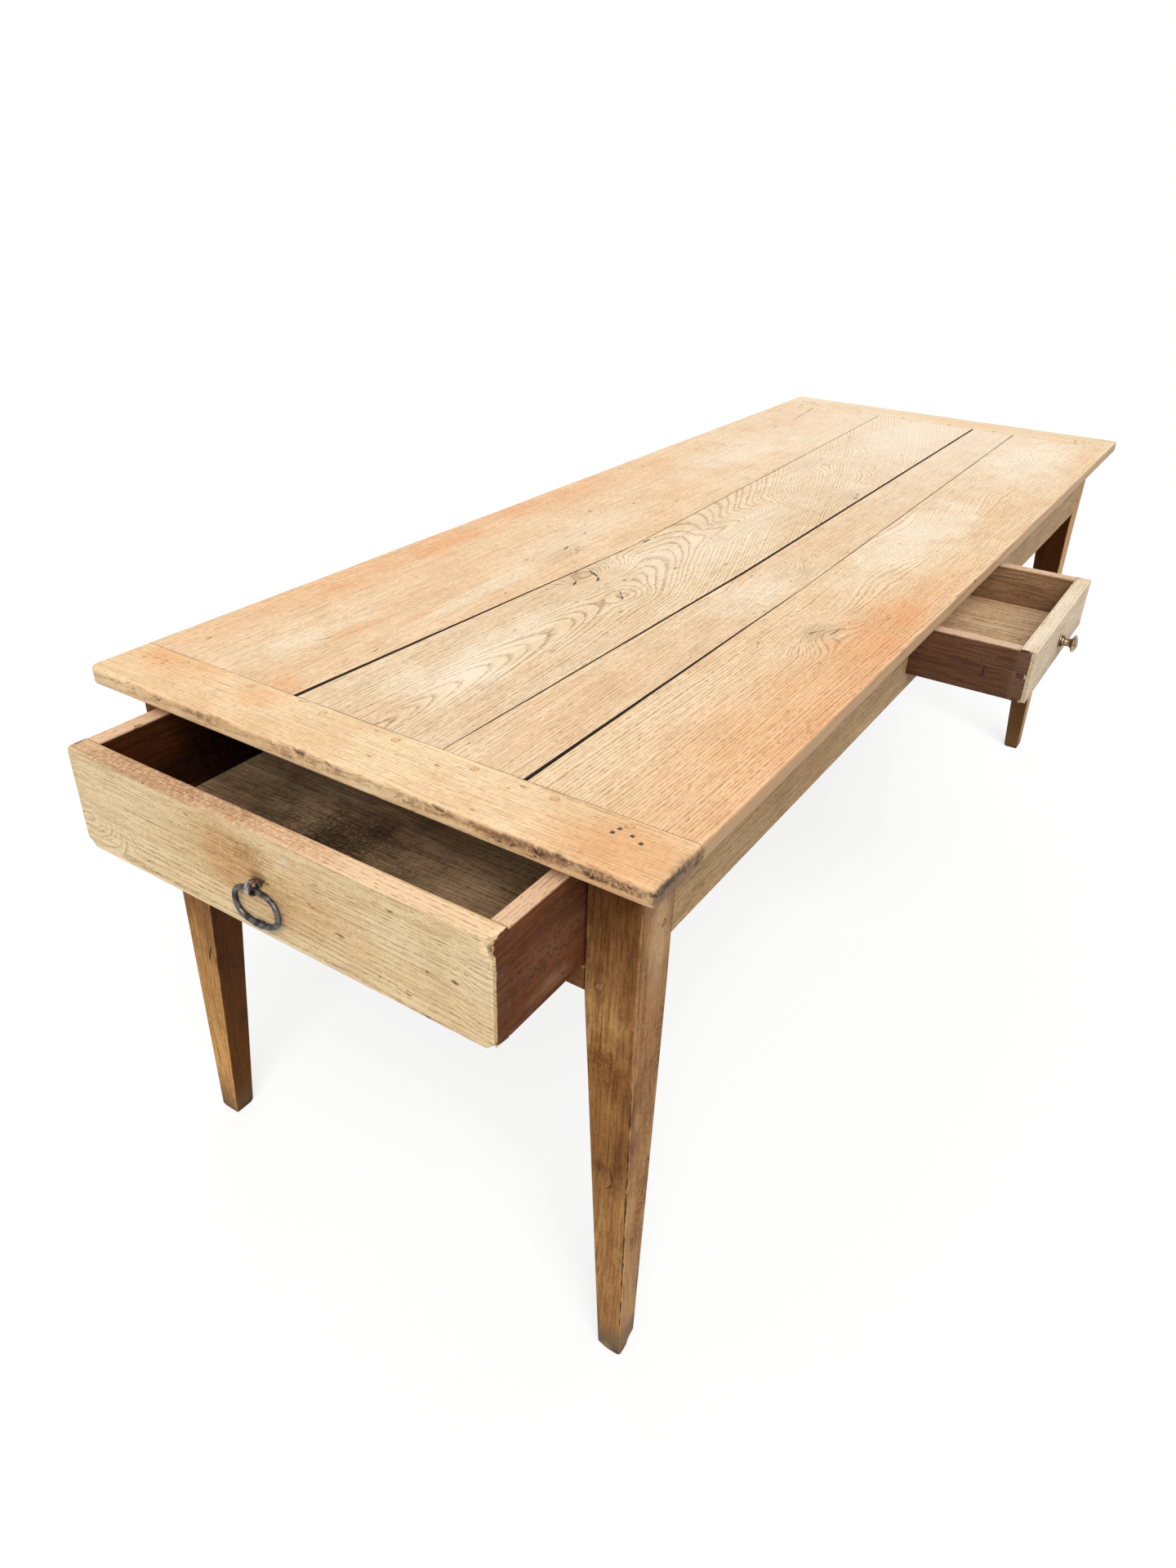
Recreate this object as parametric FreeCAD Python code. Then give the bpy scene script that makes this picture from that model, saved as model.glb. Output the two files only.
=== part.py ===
import FreeCAD, Part
import math
import os

# A farmhouse dining table in old oak. A planked top has a tongued and pegged breadboard at
# each end. It lies on a pegged frame with four tapered legs. A wide drawer with an iron ring
# pull runs in the near end, a small drawer with a turned brass knob in the right long side.
# Both drawers are modelled partly open.
# Millimetres. +X runs along the top away from the ring pull, +Y across it away from the knob,
# +Z up. The origin is the centre of the top's upper face.

# Table as a whole
top_length = 2070.0
top_width = 766.0
top_thickness = 22.0
table_height = 760.0

# Clearances and cutting
fit = 0.25
seat = 0.3
overrun = 5.0
touching = 0.01
flat_turn_share = 0.5

# Top: breadboards, then the planks from the left edge. They follow the logs that they were
# sawn from, so their width changes from the near end to the bend and on to the far end, and
# the joints between them have opened in places. The right plank takes the rest of the width.
near_breadboard = 85.0
far_breadboard = 96.0
plank_bend_share = 0.36
left_plank_near = 252.0
left_plank_bend = 281.5
left_plank_far = 244.5
centre_plank_near = 212.5
centre_plank_bend = 194.5
centre_plank_far = 225.0
narrow_plank_near = 104.5
narrow_plank_bend = 97.5
narrow_plank_far = 91.0
hairline = 0.6
left_joint_opening = 5.4
centre_joint_opening = 3.8
right_joint_opening = 4.6
right_joint_far_opening = 1.0
tongue_length = 24.0
tongue_thickness = 7.0
tongue_inset = 28.0
worn_arris = 4.5
under_arris = 3.0
joint_arris = 0.8
left_corner = 12.0
right_corner = 5.5
corner_facet_count = 5
breadboard_peg_radius = 4.3
wide_plank_peg_shares = (0.25, 0.75)
narrow_plank_peg_shares = (0.5,)

# Frame: how far it stands in from the edges of the top, and its members
near_overhang = 48.0
far_overhang = 52.0
right_overhang = 36.0
left_overhang = 22.0
leg_section = 63.0
leg_straight = 175.0
foot_section = 33.0
foot_rake = 8.0
foot_ease = 6.0
foot_ease_inset = 2.0
leg_arris = 3.5
foot_arris = 2.5
arris_facet_count = 3
rail_thickness = 25.0
rail_setback = 1.0
rail_depth_near = 112.0
rail_depth_far = 124.0
rail_arris = 2.0
bearer_depth = 45.0
bearer_height = 31.0
bearer_arris = 3.0
top_rail_height = 14.0
lap_length = 28.0
lap_slope = 0.2
lap_root_share = 0.6

# Mortises, tenons and the pegs that hold them
tenon_length = 38.0
tenon_thickness = 9.0
tenon_shoulder = 16.0
tenon_foot_shoulder = 8.0
bearer_tenon_shoulder = 4.0
bearer_tenon_thickness = 14.0
peg_radius = 4.3
peg_flat_count = 8
peg_length = 44.0
peg_proud = 0.5
long_rail_peg_shares = (0.2, 0.8)
end_rail_peg_shares = (0.4, 0.6)
bearer_peg_shares = (0.5,)

# Nails through the corners of the top into the legs. Each stands in from the leg's outer
# corner by a share of the leg's section, along the table and across it.
top_nail_radius = 2.6
top_nail_depth = 14.0
top_nail_shares = ((0.12, 0.66), (0.26, 0.62), (0.2, 0.37), (0.1, 0.17))

# Blocks glued into the corner between rails and top
block_side = 20.0
block_length = 60.0
right_block_shares = (0.2, 0.72, 0.9)
left_block_shares = (0.2, 0.5, 0.8)
end_block_shares = (0.3, 0.7)

# Ring-pull drawer, sized to the opening between the near legs
drawer_play = 1.5
end_drawer_floor = 165.0
end_drawer_top = 38.0
end_drawer_length = 560.0
end_drawer_open = 144.5
end_front_thickness = 25.0
end_side_thickness = 20.0
end_back_thickness = 16.0
end_bottom_thickness = 9.0
end_lap = 6.0
end_lap_corner = 12.0

# Knob drawer, sized to its notch in the right long rail
drawers_apart = 152.5
side_drawer_notch = 361.0
side_drawer_floor = 110.0
side_drawer_top = 33.0
side_drawer_length = 480.0
side_drawer_open = 168.0
side_front_thickness = 22.0
side_side_thickness = 16.5
side_back_thickness = 14.0
side_bottom_thickness = 8.0
side_lap = 7.0
side_lap_corner = 3.0

# Drawer joinery common to both
side_inset = 1.0
dovetail_pin = 6.0
dovetail_slope = 0.16
groove_height = 8.0
groove_depth = 6.0
back_below_side = 3.0
bottom_gap = 0.8
front_arris = 1.5
side_arris = 2.0
nail_radius = 1.9
nail_flat_count = 4
nail_grip = 18.0
bottom_nail_shares = (0.12, 0.37, 0.63, 0.88)

# Guides beside the drawers and the runners under them
guide_height = 65.0
end_runner_width = 60.0
end_runner_thickness = 12.5
runner_spare = 27.0
stop_length = 20.0
stop_height = 14.0
side_runner_width = 32.0
side_runner_height = 20.0
side_runner_tenon = 10.0
side_guide_height = 24.0
side_guide_width = 13.0
guide_nail_shares = (0.15, 0.5, 0.85)
guide_nail_rail_share = 0.6
guide_nail_runner_share = 0.75
runner_nail_shares = (0.25, 0.6, 0.9)

# Iron ring and the split eye that carries it
ring_bar_radius = 3.0
ring_belly_radius = 4.3
ring_bar_half = 17.0
ring_corner = 13.5
ring_bead_radius = 5.6
ring_bead_half = 4.0
ring_bead_flat = 2.6
ring_flat_count = 12
ring_corner_step_count = 4
ring_belly_step_count = 6
eye_strap = 2.2
eye_strap_width = 6.0
eye_loop_radius = 8.4
eye_slit = 0.2
eye_height_share = 0.52
eye_clench = 16.0

# Turned brass knob with its post, washer and square nut
knob_reach = 26.0
knob_flange_radius = 10.5
knob_flange = 2.5
knob_collar_radius = 8.5
knob_collar_end = 6.5
knob_neck_radius = 5.2
knob_waist_share = 0.9
knob_neck_at = 11.0
knob_cap_radius = 13.0
knob_cap_back = 17.0
knob_cap_rim = 20.5
knob_cap_shoulder_radius = 7.5
knob_cap_edge_share = 0.5
knob_post_radius = 3.0
knob_height_share = 0.44
knob_arc_point_count = 5
turned_flat_count = 28
washer_radius = 8.5
washer_thickness = 1.2
nut_across = 11.0
nut_thickness = 4.5
post_beyond_nut = 3.0

# Places worked out from the sizes above
x_near = -top_length / 2
x_far = top_length / 2
y_right = -top_width / 2
y_left = top_width / 2
z_under = -top_thickness
z_floor = -table_height
near_shoulder = x_near + near_breadboard
far_shoulder = x_far - far_breadboard
frame_near = x_near + near_overhang
frame_far = x_far - far_overhang
frame_right = y_right + right_overhang
frame_left = y_left - left_overhang
leg_inner_near = frame_near + leg_section
leg_inner_far = frame_far - leg_section
leg_inner_right = frame_right + leg_section
leg_inner_left = frame_left - leg_section
rail_outer_right = frame_right + rail_setback
rail_outer_left = frame_left - rail_setback
rail_outer_far = frame_far - rail_setback
rail_outer_near = frame_near + rail_setback
rail_inner_right = rail_outer_right + rail_thickness
rail_inner_left = rail_outer_left - rail_thickness
rail_inner_far = rail_outer_far - rail_thickness
bearer_back = rail_outer_near + bearer_depth
tongue_low = z_under + (top_thickness - tongue_thickness) / 2
tongue_high = tongue_low + tongue_thickness


def vec(x, y, z):
    return FreeCAD.Vector(x, y, z)


def box(x0, x1, y0, y1, z0, z1):
    return Part.makeBox(x1 - x0, y1 - y0, z1 - z0, vec(x0, y0, z0))


def prism(points, along):
    ring = [vec(*p) for p in points]
    ring.append(ring[0])
    return Part.Face(Part.makePolygon(ring)).extrude(vec(*along))


def rod(radius, start, along, length):
    return Part.makeCylinder(radius, length, vec(*start), vec(*along))


def flatted_rod(flats, radius, start, along, length):
    """A riven peg or a cut nail: a prism on a regular polygon."""
    a = vec(*along)
    side = vec(0, 0, 1) if abs(a.z) < touching else vec(1, 0, 0)
    up = a.cross(side)
    corners = []
    for i in range(flats + 1):
        turn = 2 * math.pi * (i + flat_turn_share) / flats
        corners.append(vec(*start) + side * (radius * math.cos(turn)) + up * (radius * math.sin(turn)))
    return Part.Face(Part.makePolygon(corners)).extrude(a * length)


def peg(radius, start, along, length):
    return flatted_rod(peg_flat_count, radius, start, along, length)


def nail(radius, start, along, length):
    return flatted_rod(nail_flat_count, radius, start, along, length)


def on_plane(edge, axis, value):
    b = edge.BoundBox
    low = {"x": b.XMin, "y": b.YMin, "z": b.ZMin}[axis]
    high = {"x": b.XMax, "y": b.YMax, "z": b.ZMax}[axis]
    return abs(low - value) < touching and abs(high - value) < touching


def skinned(rings):
    """A solid of flat faces through rings of points whose sides stay parallel from ring to ring."""
    faces = [Part.Face(Part.makePolygon(ring + ring[:1])) for ring in (rings[0], rings[-1])]
    for a, b in zip(rings, rings[1:]):
        for i in range(len(a)):
            j = (i + 1) % len(a)
            faces.append(Part.Face(Part.makePolygon([a[i], a[j], b[j], b[i], a[i]])))
    shell = Part.makeShell(faces)
    shell.sewShape()
    body = Part.makeSolid(shell).removeSplitter()
    if body.Volume < 0:
        body.reverse()
    return body


def fuse(first, *others):
    return first.fuse(list(others)).removeSplitter() if others else first


def cut(body, tools):
    return body.cut(tools).removeSplitter() if tools else body


# Top

plank_names = ("plank_left_wide", "plank_centre_wide", "plank_centre_narrow", "plank_right")
plank_widths = (
    (left_plank_near, left_plank_bend, left_plank_far),
    (centre_plank_near, centre_plank_bend, centre_plank_far),
    (narrow_plank_near, narrow_plank_bend, narrow_plank_far),
)
joint_openings = (
    (left_joint_opening, hairline, hairline),
    (hairline, centre_joint_opening, centre_joint_opening),
    (right_joint_opening, hairline, right_joint_far_opening),
)
plank_peg_shares = (wide_plank_peg_shares, wide_plank_peg_shares,
                    narrow_plank_peg_shares, wide_plank_peg_shares)


def joint_edge(joint, side):
    """The near, bend and far points of a plank's edge at a joint; side +1 lies to the left."""
    bend = near_shoulder + (far_shoulder - near_shoulder) * plank_bend_share
    edge = []
    for station, x in enumerate((near_shoulder, bend, far_shoulder)):
        width = sum(widths[station] for widths in plank_widths[:joint + 1])
        edge.append((x, y_left - width + side * joint_openings[joint][station] / 2))
    return edge


def plank_edges(index):
    """The right and left edges of a plank, each from near to far."""
    right, left = ([(x, y) for x in (near_shoulder, far_shoulder)] for y in (y_right, y_left))
    if index < len(plank_widths):
        right = joint_edge(index, 1)
    if index > 0:
        left = joint_edge(index - 1, -1)
    return right, left


def tongue_span(index, end):
    """The lowest and highest y of a plank's tongue; end 0 is near and -1 far."""
    right, left = plank_edges(index)
    low = right[end][1] + (tongue_inset if index == len(plank_widths) else 0)
    high = left[end][1] - (tongue_inset if index == 0 else 0)
    return low, high


def tongue_peg_places(index, end):
    low, high = tongue_span(index, end)
    x = near_shoulder - tongue_length / 2 if end == 0 else far_shoulder + tongue_length / 2
    return [(x, low + (high - low) * share) for share in plank_peg_shares[index]]


def peg_holes(places):
    return [peg(breadboard_peg_radius + fit, (x, y, z_under - overrun), (0, 0, 1),
                top_thickness + 2 * overrun) for x, y in places]


def plank(index):
    right, left = plank_edges(index)
    outline = [(x, y, z_under) for x, y in right + left[::-1]]
    body = prism(outline, (0, 0, top_thickness))
    outer = y_left if index == 0 else y_right
    upper = [e for e in body.Edges if on_plane(e, "z", 0)
             and not on_plane(e, "x", near_shoulder) and not on_plane(e, "x", far_shoulder)]
    body = body.makeFillet(joint_arris, [e for e in upper if not on_plane(e, "y", outer)])
    if index in (0, len(plank_widths)):
        top = [e for e in body.Edges if on_plane(e, "y", outer) and on_plane(e, "z", 0)]
        body = body.makeFillet(worn_arris, top)
        under = [e for e in body.Edges if on_plane(e, "y", outer) and on_plane(e, "z", z_under)]
        body = body.makeFillet(under_arris, under)
    tongues = []
    for end, x0, x1 in ((0, near_shoulder - tongue_length, near_shoulder),
                        (-1, far_shoulder, far_shoulder + tongue_length)):
        low, high = tongue_span(index, end)
        tongues.append(box(x0, x1, low, high, tongue_low, tongue_high))
    holes = peg_holes(tongue_peg_places(index, 0) + tongue_peg_places(index, -1))
    if index in (0, len(plank_widths)):
        side = "left" if index == 0 else "right"
        holes += top_nails("near", side, fit) + top_nails("far", side, fit)
    return cut(fuse(body, *tongues), holes)


def top_nails(end, side, grow):
    """The nails through a corner of the top into the leg below."""
    x, along = (frame_near, 1) if end == "near" else (frame_far, -1)
    y, across = (frame_right, 1) if side == "right" else (frame_left, -1)
    length = top_thickness + top_nail_depth + grow
    return [nail(top_nail_radius + grow, (x + along * leg_section * a, y + across * leg_section * b, 0),
                 (0, 0, -1), length) for a, b in top_nail_shares]


def breadboard_outline(end, inset, z):
    """The breadboard seen from above at a height, drawn in by its worn arris on its three free sides."""
    outer = x_near if end == 0 else x_far
    shoulder = near_shoulder if end == 0 else far_shoulder
    inward = 1 if end == 0 else -1
    points = [vec(shoulder, y_right + inset, z)]
    for y, into_y, radius in ((y_right, 1, right_corner), (y_left, -1, left_corner)):
        corner = []
        for i in range(corner_facet_count + 1):
            turn = math.pi / 2 * i / corner_facet_count
            corner.append(vec(outer + inward * (radius - (radius - inset) * math.sin(turn)),
                              y + into_y * (radius - (radius - inset) * math.cos(turn)), z))
        points += corner if into_y == 1 else corner[::-1]
    return points + [vec(shoulder, y_left - inset, z)]


def breadboard(end):
    shoulder = near_shoulder if end == 0 else far_shoulder
    inward = 1 if end == 0 else -1
    turns = [math.pi / 2 * i / arris_facet_count for i in range(arris_facet_count + 1)]
    under = [(under_arris * (1 - math.sin(t)), z_under + under_arris * (1 - math.cos(t))) for t in turns]
    upper = [(worn_arris * (1 - math.cos(t)), -worn_arris * (1 - math.sin(t))) for t in turns]
    body = skinned([breadboard_outline(end, inset, z) for inset, z in under + upper])
    bottom_of_groove = shoulder - inward * (tongue_length + seat)
    mouth = shoulder + inward * overrun
    groove = box(min(bottom_of_groove, mouth), max(bottom_of_groove, mouth),
                 y_right + tongue_inset - fit, y_left - tongue_inset + fit,
                 tongue_low - fit, tongue_high + fit)
    places = [p for index in range(len(plank_names)) for p in tongue_peg_places(index, end)]
    nails = [n for side in ("right", "left") for n in top_nails("near" if end == 0 else "far", side, fit)]
    return cut(body, [groove] + peg_holes(places) + nails)


def breadboard_pegs():
    pegs = []
    for end in (0, -1):
        for index in range(len(plank_names)):
            for x, y in tongue_peg_places(index, end):
                pegs.append(peg(breadboard_peg_radius, (x, y, z_under), (0, 0, 1), top_thickness))
    return Part.makeCompound(pegs)


# Frame joints. Each is one box: the tenon as it is, the mortise grown by a clearance.

def long_rail_depth(x):
    share = (x - leg_inner_near) / (leg_inner_far - leg_inner_near)
    return rail_depth_near + (rail_depth_far - rail_depth_near) * share


def long_rail_tenon(side, end, grow):
    outer = rail_outer_right if side == "right" else rail_inner_left
    middle = outer + rail_thickness / 2
    root = leg_inner_near if end == "near" else leg_inner_far
    tip = root - tenon_length if end == "near" else root + tenon_length
    depth = rail_depth_near if end == "near" else rail_depth_far
    return box(min(root, tip) - grow, max(root, tip) + grow,
               middle - tenon_thickness / 2 - grow, middle + tenon_thickness / 2 + grow,
               z_under - depth + tenon_foot_shoulder - grow, z_under - tenon_shoulder + grow)


def end_rail_tenon(side, grow):
    middle = (rail_outer_far + rail_inner_far) / 2
    root = leg_inner_right if side == "right" else leg_inner_left
    tip = root - tenon_length if side == "right" else root + tenon_length
    return box(middle - tenon_thickness / 2 - grow, middle + tenon_thickness / 2 + grow,
               min(root, tip) - grow, max(root, tip) + grow,
               z_under - rail_depth_far + tenon_foot_shoulder - grow,
               z_under - tenon_shoulder + grow)


def bearer_tenon(side, grow):
    middle = (rail_outer_near + bearer_back) / 2
    root = leg_inner_right if side == "right" else leg_inner_left
    tip = root - tenon_length if side == "right" else root + tenon_length
    low = -end_drawer_floor - bearer_height + bearer_tenon_shoulder
    high = -end_drawer_floor - bearer_tenon_shoulder
    return box(middle - bearer_tenon_thickness / 2 - grow, middle + bearer_tenon_thickness / 2 + grow,
               min(root, tip) - grow, max(root, tip) + grow, low - grow, high + grow)


def top_rail_lap(side, grow):
    """The dovetail that laps into a leg top, wider at its tip."""
    middle = (rail_outer_near + bearer_back) / 2
    root = leg_inner_right if side == "right" else leg_inner_left
    out = -1 if side == "right" else 1
    half_root = bearer_depth * lap_root_share / 2 + grow
    half_tip = half_root + lap_length * lap_slope
    tip = root + out * (lap_length + grow)
    low = z_under - top_rail_height - grow
    points = [(middle - half_root, root, low), (middle + half_root, root, low),
              (middle + half_tip, tip, low), (middle - half_tip, tip, low)]
    return prism(points, (0, 0, top_rail_height + 2 * grow))


def peg_heights(tenon, shares):
    b = tenon.BoundBox
    return [b.ZMin + (b.ZMax - b.ZMin) * share for share in shares]


def frame_peg_rods(grow):
    """Every peg of the frame as (leg, member, rod)."""
    rods = []
    for side, y, into in (("right", frame_right, 1), ("left", frame_left, -1)):
        for end in ("near", "far"):
            tenon = long_rail_tenon(side, end, 0)
            start = y - into * peg_proud
            for z in peg_heights(tenon, long_rail_peg_shares):
                rods.append((end + "_" + side, "long_rail_" + side,
                             peg(peg_radius + grow, (tenon.BoundBox.Center.x, start, z),
                                 (0, into, 0), peg_length + grow)))
        for member, tenon, x, along, shares in (
                ("end_rail_far", end_rail_tenon(side, 0), frame_far, -1, end_rail_peg_shares),
                ("drawer_bearer", bearer_tenon(side, 0), frame_near, 1, bearer_peg_shares)):
            leg = ("far_" if member == "end_rail_far" else "near_") + side
            for z in peg_heights(tenon, shares):
                rods.append((leg, member,
                             peg(peg_radius + grow, (x - along * peg_proud, tenon.BoundBox.Center.y, z),
                                 (along, 0, 0), peg_length + grow)))
    return rods


def frame_peg_holes(leg, member):
    return [r for in_leg, in_member, r in frame_peg_rods(fit) if leg == in_leg or member == in_member]


# Frame members

def leg_section_points(x, y, into_x, into_y, size, inset, radius, z):
    """Points round a leg with worn arrises. x, y is its outer corner; into_x, into_y point inwards."""
    x0, x1 = sorted((x + into_x * inset, x + into_x * (size - inset)))
    y0, y1 = sorted((y + into_y * inset, y + into_y * (size - inset)))
    centres = ((x0 + radius, y0 + radius, 2), (x1 - radius, y0 + radius, 3),
               (x1 - radius, y1 - radius, 0), (x0 + radius, y1 - radius, 1))
    points = []
    for cx, cy, quarter in centres:
        for i in range(arris_facet_count + 1):
            turn = math.pi / 2 * (quarter + i / arris_facet_count)
            points.append(vec(cx + radius * math.cos(turn), cy + radius * math.sin(turn), z))
    return points


def leg(end, side):
    x, into_x = (frame_near, 1) if end == "near" else (frame_far, -1)
    y, into_y = (frame_right, 1) if side == "right" else (frame_left, -1)
    foot_y = y - into_y * foot_rake
    knee = z_under - leg_straight
    sections = ((y, leg_section, 0, leg_arris, z_under), (y, leg_section, 0, leg_arris, knee),
                (foot_y, foot_section, 0, foot_arris, z_floor + foot_ease),
                (foot_y, foot_section, foot_ease_inset, foot_arris, z_floor))
    body = skinned([leg_section_points(x, sy, into_x, into_y, size, inset, radius, z)
                    for sy, size, inset, radius, z in sections])
    tools = [long_rail_tenon(side, end, fit)]
    if end == "near":
        tools += [bearer_tenon(side, fit), top_rail_lap(side, fit)]
    else:
        tools.append(end_rail_tenon(side, fit))
    tools += frame_peg_holes(end + "_" + side, None) + top_nails(end, side, fit)
    return cut(body, tools)


def below_rail(edge):
    return edge.BoundBox.ZMax < z_under - rail_depth_near + touching and edge.Length > rail_thickness * 2


def long_rail(side):
    y0 = rail_outer_right if side == "right" else rail_inner_left
    outline = [(leg_inner_near, y0, z_under), (leg_inner_far, y0, z_under),
               (leg_inner_far, y0, z_under - rail_depth_far),
               (leg_inner_near, y0, z_under - rail_depth_near)]
    body = prism(outline, (0, rail_thickness, 0))
    body = body.makeFillet(rail_arris, [e for e in body.Edges if below_rail(e) and
                                        (on_plane(e, "y", y0) or on_plane(e, "y", y0 + rail_thickness))])
    body = fuse(body, long_rail_tenon(side, "near", 0), long_rail_tenon(side, "far", 0))
    tools = frame_peg_holes(None, "long_rail_" + side)
    tools += [side_runner_tenon_box(which, side, fit) for which in ("near", "far")]
    tools += [r for at, r in guide_nails(fit) if at == "end_" + side]
    if side == "right":
        tools.append(box(side_drawer_centre - side_drawer_notch / 2,
                         side_drawer_centre + side_drawer_notch / 2,
                         y0 - overrun, y0 + rail_thickness + overrun,
                         -side_drawer_floor, z_under + overrun))
    return cut(body, tools)


def end_rail_far():
    body = box(rail_inner_far, rail_outer_far, leg_inner_right, leg_inner_left,
               z_under - rail_depth_far, z_under)
    body = body.makeFillet(rail_arris, [e for e in body.Edges if below_rail(e)])
    body = fuse(body, end_rail_tenon("right", 0), end_rail_tenon("left", 0))
    return cut(body, frame_peg_holes(None, "end_rail_far"))


def drawer_bearer():
    low = -end_drawer_floor - bearer_height
    body = box(rail_outer_near, bearer_back, leg_inner_right, leg_inner_left, low, -end_drawer_floor)
    rounded = [e for e in body.Edges if on_plane(e, "z", low) and
               (on_plane(e, "x", rail_outer_near) or on_plane(e, "x", bearer_back))]
    body = body.makeFillet(bearer_arris, rounded)
    body = fuse(body, bearer_tenon("right", 0), bearer_tenon("left", 0))
    return cut(body, frame_peg_holes(None, "drawer_bearer"))


def top_rail_near():
    body = box(rail_outer_near, bearer_back, leg_inner_right, leg_inner_left,
               z_under - top_rail_height, z_under)
    body = fuse(body, top_rail_lap("right", 0), top_rail_lap("left", 0))
    return cut(body, top_nails("near", "right", fit) + top_nails("near", "left", fit))


def glue_blocks():
    """Three-cornered blocks that hold the top to the rails."""
    blocks = []
    span = leg_inner_far - leg_inner_near - block_length
    for y, into, shares in ((rail_inner_right, 1, right_block_shares),
                            (rail_inner_left, -1, left_block_shares)):
        for share in shares:
            x = leg_inner_near + span * share
            points = [(x, y, z_under), (x, y + into * block_side, z_under), (x, y, z_under - block_side)]
            blocks.append(prism(points, (block_length, 0, 0)))
    span = leg_inner_left - leg_inner_right - block_length
    for share in end_block_shares:
        y = leg_inner_right + span * share
        points = [(rail_inner_far, y, z_under), (rail_inner_far - block_side, y, z_under),
                  (rail_inner_far, y, z_under - block_side)]
        blocks.append(prism(points, (0, block_length, 0)))
    return Part.makeCompound(blocks)


# Guides, runners and stops

end_closed_back = rail_outer_near + end_drawer_length
end_guide_back = end_closed_back + runner_spare
side_closed_back = rail_outer_right + side_drawer_length
side_front_width = side_drawer_notch - 2 * drawer_play
side_drawer_centre = (end_guide_back + drawers_apart + side_guide_width + drawer_play
                      - side_inset + side_front_width / 2)
side_wall_near = side_drawer_centre - side_front_width / 2 + side_inset
side_wall_far = side_drawer_centre + side_front_width / 2 - side_inset


def end_guide_span(side):
    if side == "right":
        return rail_inner_right, leg_inner_right
    return leg_inner_left, rail_inner_left


def end_guide(side):
    y0, y1 = end_guide_span(side)
    body = box(leg_inner_near, end_guide_back, y0, y1, -end_drawer_floor, -end_drawer_floor + guide_height)
    return cut(body, [r for at, r in guide_nails(fit) if at in ("end_" + side, "under_" + side)])


def end_runner(side):
    """Carries a drawer side from the bearer back; its nose is notched round the leg."""
    y0, y1 = end_guide_span(side)
    if side == "right":
        rail_y, leg_y, tip_y = y0, y1 + fit, y0 + end_runner_width
    else:
        rail_y, leg_y, tip_y = y1, y0 - fit, y1 - end_runner_width
    z = -end_drawer_floor - end_runner_thickness
    plan = [(bearer_back, tip_y), (end_guide_back, tip_y), (end_guide_back, rail_y),
            (leg_inner_near + fit, rail_y), (leg_inner_near + fit, leg_y), (bearer_back, leg_y)]
    body = prism([(x, y, z) for x, y in plan], (0, 0, end_runner_thickness))
    return cut(body, [r for at, r in guide_nails(fit) if at == "under_" + side])


def side_runner_x(which):
    """A cross runner lies under a drawer side and under the guide beside it."""
    if which == "near":
        low = side_wall_near - drawer_play - side_guide_width
        return low, low + side_runner_width
    high = side_wall_far + drawer_play + side_guide_width
    return high - side_runner_width, high


def side_runner_tenon_box(which, side, grow):
    x0, x1 = side_runner_x(which)
    low = -side_drawer_floor - side_runner_height
    if side == "right":
        y0, y1 = rail_inner_right - side_runner_tenon, rail_inner_right
    else:
        y0, y1 = rail_inner_left, rail_inner_left + side_runner_tenon
    return box(x0 - grow, x1 + grow, y0 - grow, y1 + grow, low - grow, -side_drawer_floor + grow)


def side_runner(which):
    x0, x1 = side_runner_x(which)
    body = box(x0, x1, rail_inner_right, rail_inner_left,
               -side_drawer_floor - side_runner_height, -side_drawer_floor)
    body = fuse(body, side_runner_tenon_box(which, "right", 0), side_runner_tenon_box(which, "left", 0))
    return cut(body, [r for at, r in guide_nails(fit) if at == "cross_" + which])


def side_guide(which):
    x0, x1 = side_runner_x(which)
    if which == "near":
        x1 = x0 + side_guide_width
    else:
        x0 = x1 - side_guide_width
    body = box(x0, x1, rail_inner_right, side_closed_back + runner_spare,
               -side_drawer_floor, -side_drawer_floor + side_guide_height)
    return cut(body, [r for at, r in guide_nails(fit) if at == "cross_" + which])


def guide_nails(grow):
    """Nails flush in the guides and runners, as (place, rod)."""
    nails = []
    length = end_guide_back - leg_inner_near
    for side, into in (("right", -1), ("left", 1)):
        y0, y1 = end_guide_span(side)
        inner = y1 if side == "right" else y0
        tip = (y1 - y0) + rail_thickness * guide_nail_rail_share
        z = (-end_drawer_floor + guide_height + z_under - rail_depth_near) / 2
        for share in guide_nail_shares:
            x = leg_inner_near + length * share
            nails.append(("end_" + side, nail(nail_radius + grow, (x, inner, z), (0, into, 0), tip + grow)))
        low = -end_drawer_floor - end_runner_thickness
        for share in runner_nail_shares:
            x = leg_inner_near + length * share
            nails.append(("under_" + side, nail(nail_radius + grow, (x, (y0 + y1) / 2, low), (0, 0, 1),
                                               end_runner_thickness + nail_grip + grow)))
    reach = side_closed_back + runner_spare - rail_inner_right
    for which in ("near", "far"):
        x0, x1 = side_runner_x(which)
        x = x0 + side_guide_width / 2 if which == "near" else x1 - side_guide_width / 2
        depth = side_guide_height + side_runner_height * guide_nail_runner_share
        for share in guide_nail_shares:
            y = rail_inner_right + reach * share
            top = -side_drawer_floor + side_guide_height
            driven = nail(nail_radius + grow, (x, y, top), (0, 0, -1), depth + grow)
            nails.append(("cross_" + which, driven))
    return nails


def runner_nails():
    return Part.makeCompound([r for at, r in guide_nails(0)])


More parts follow.
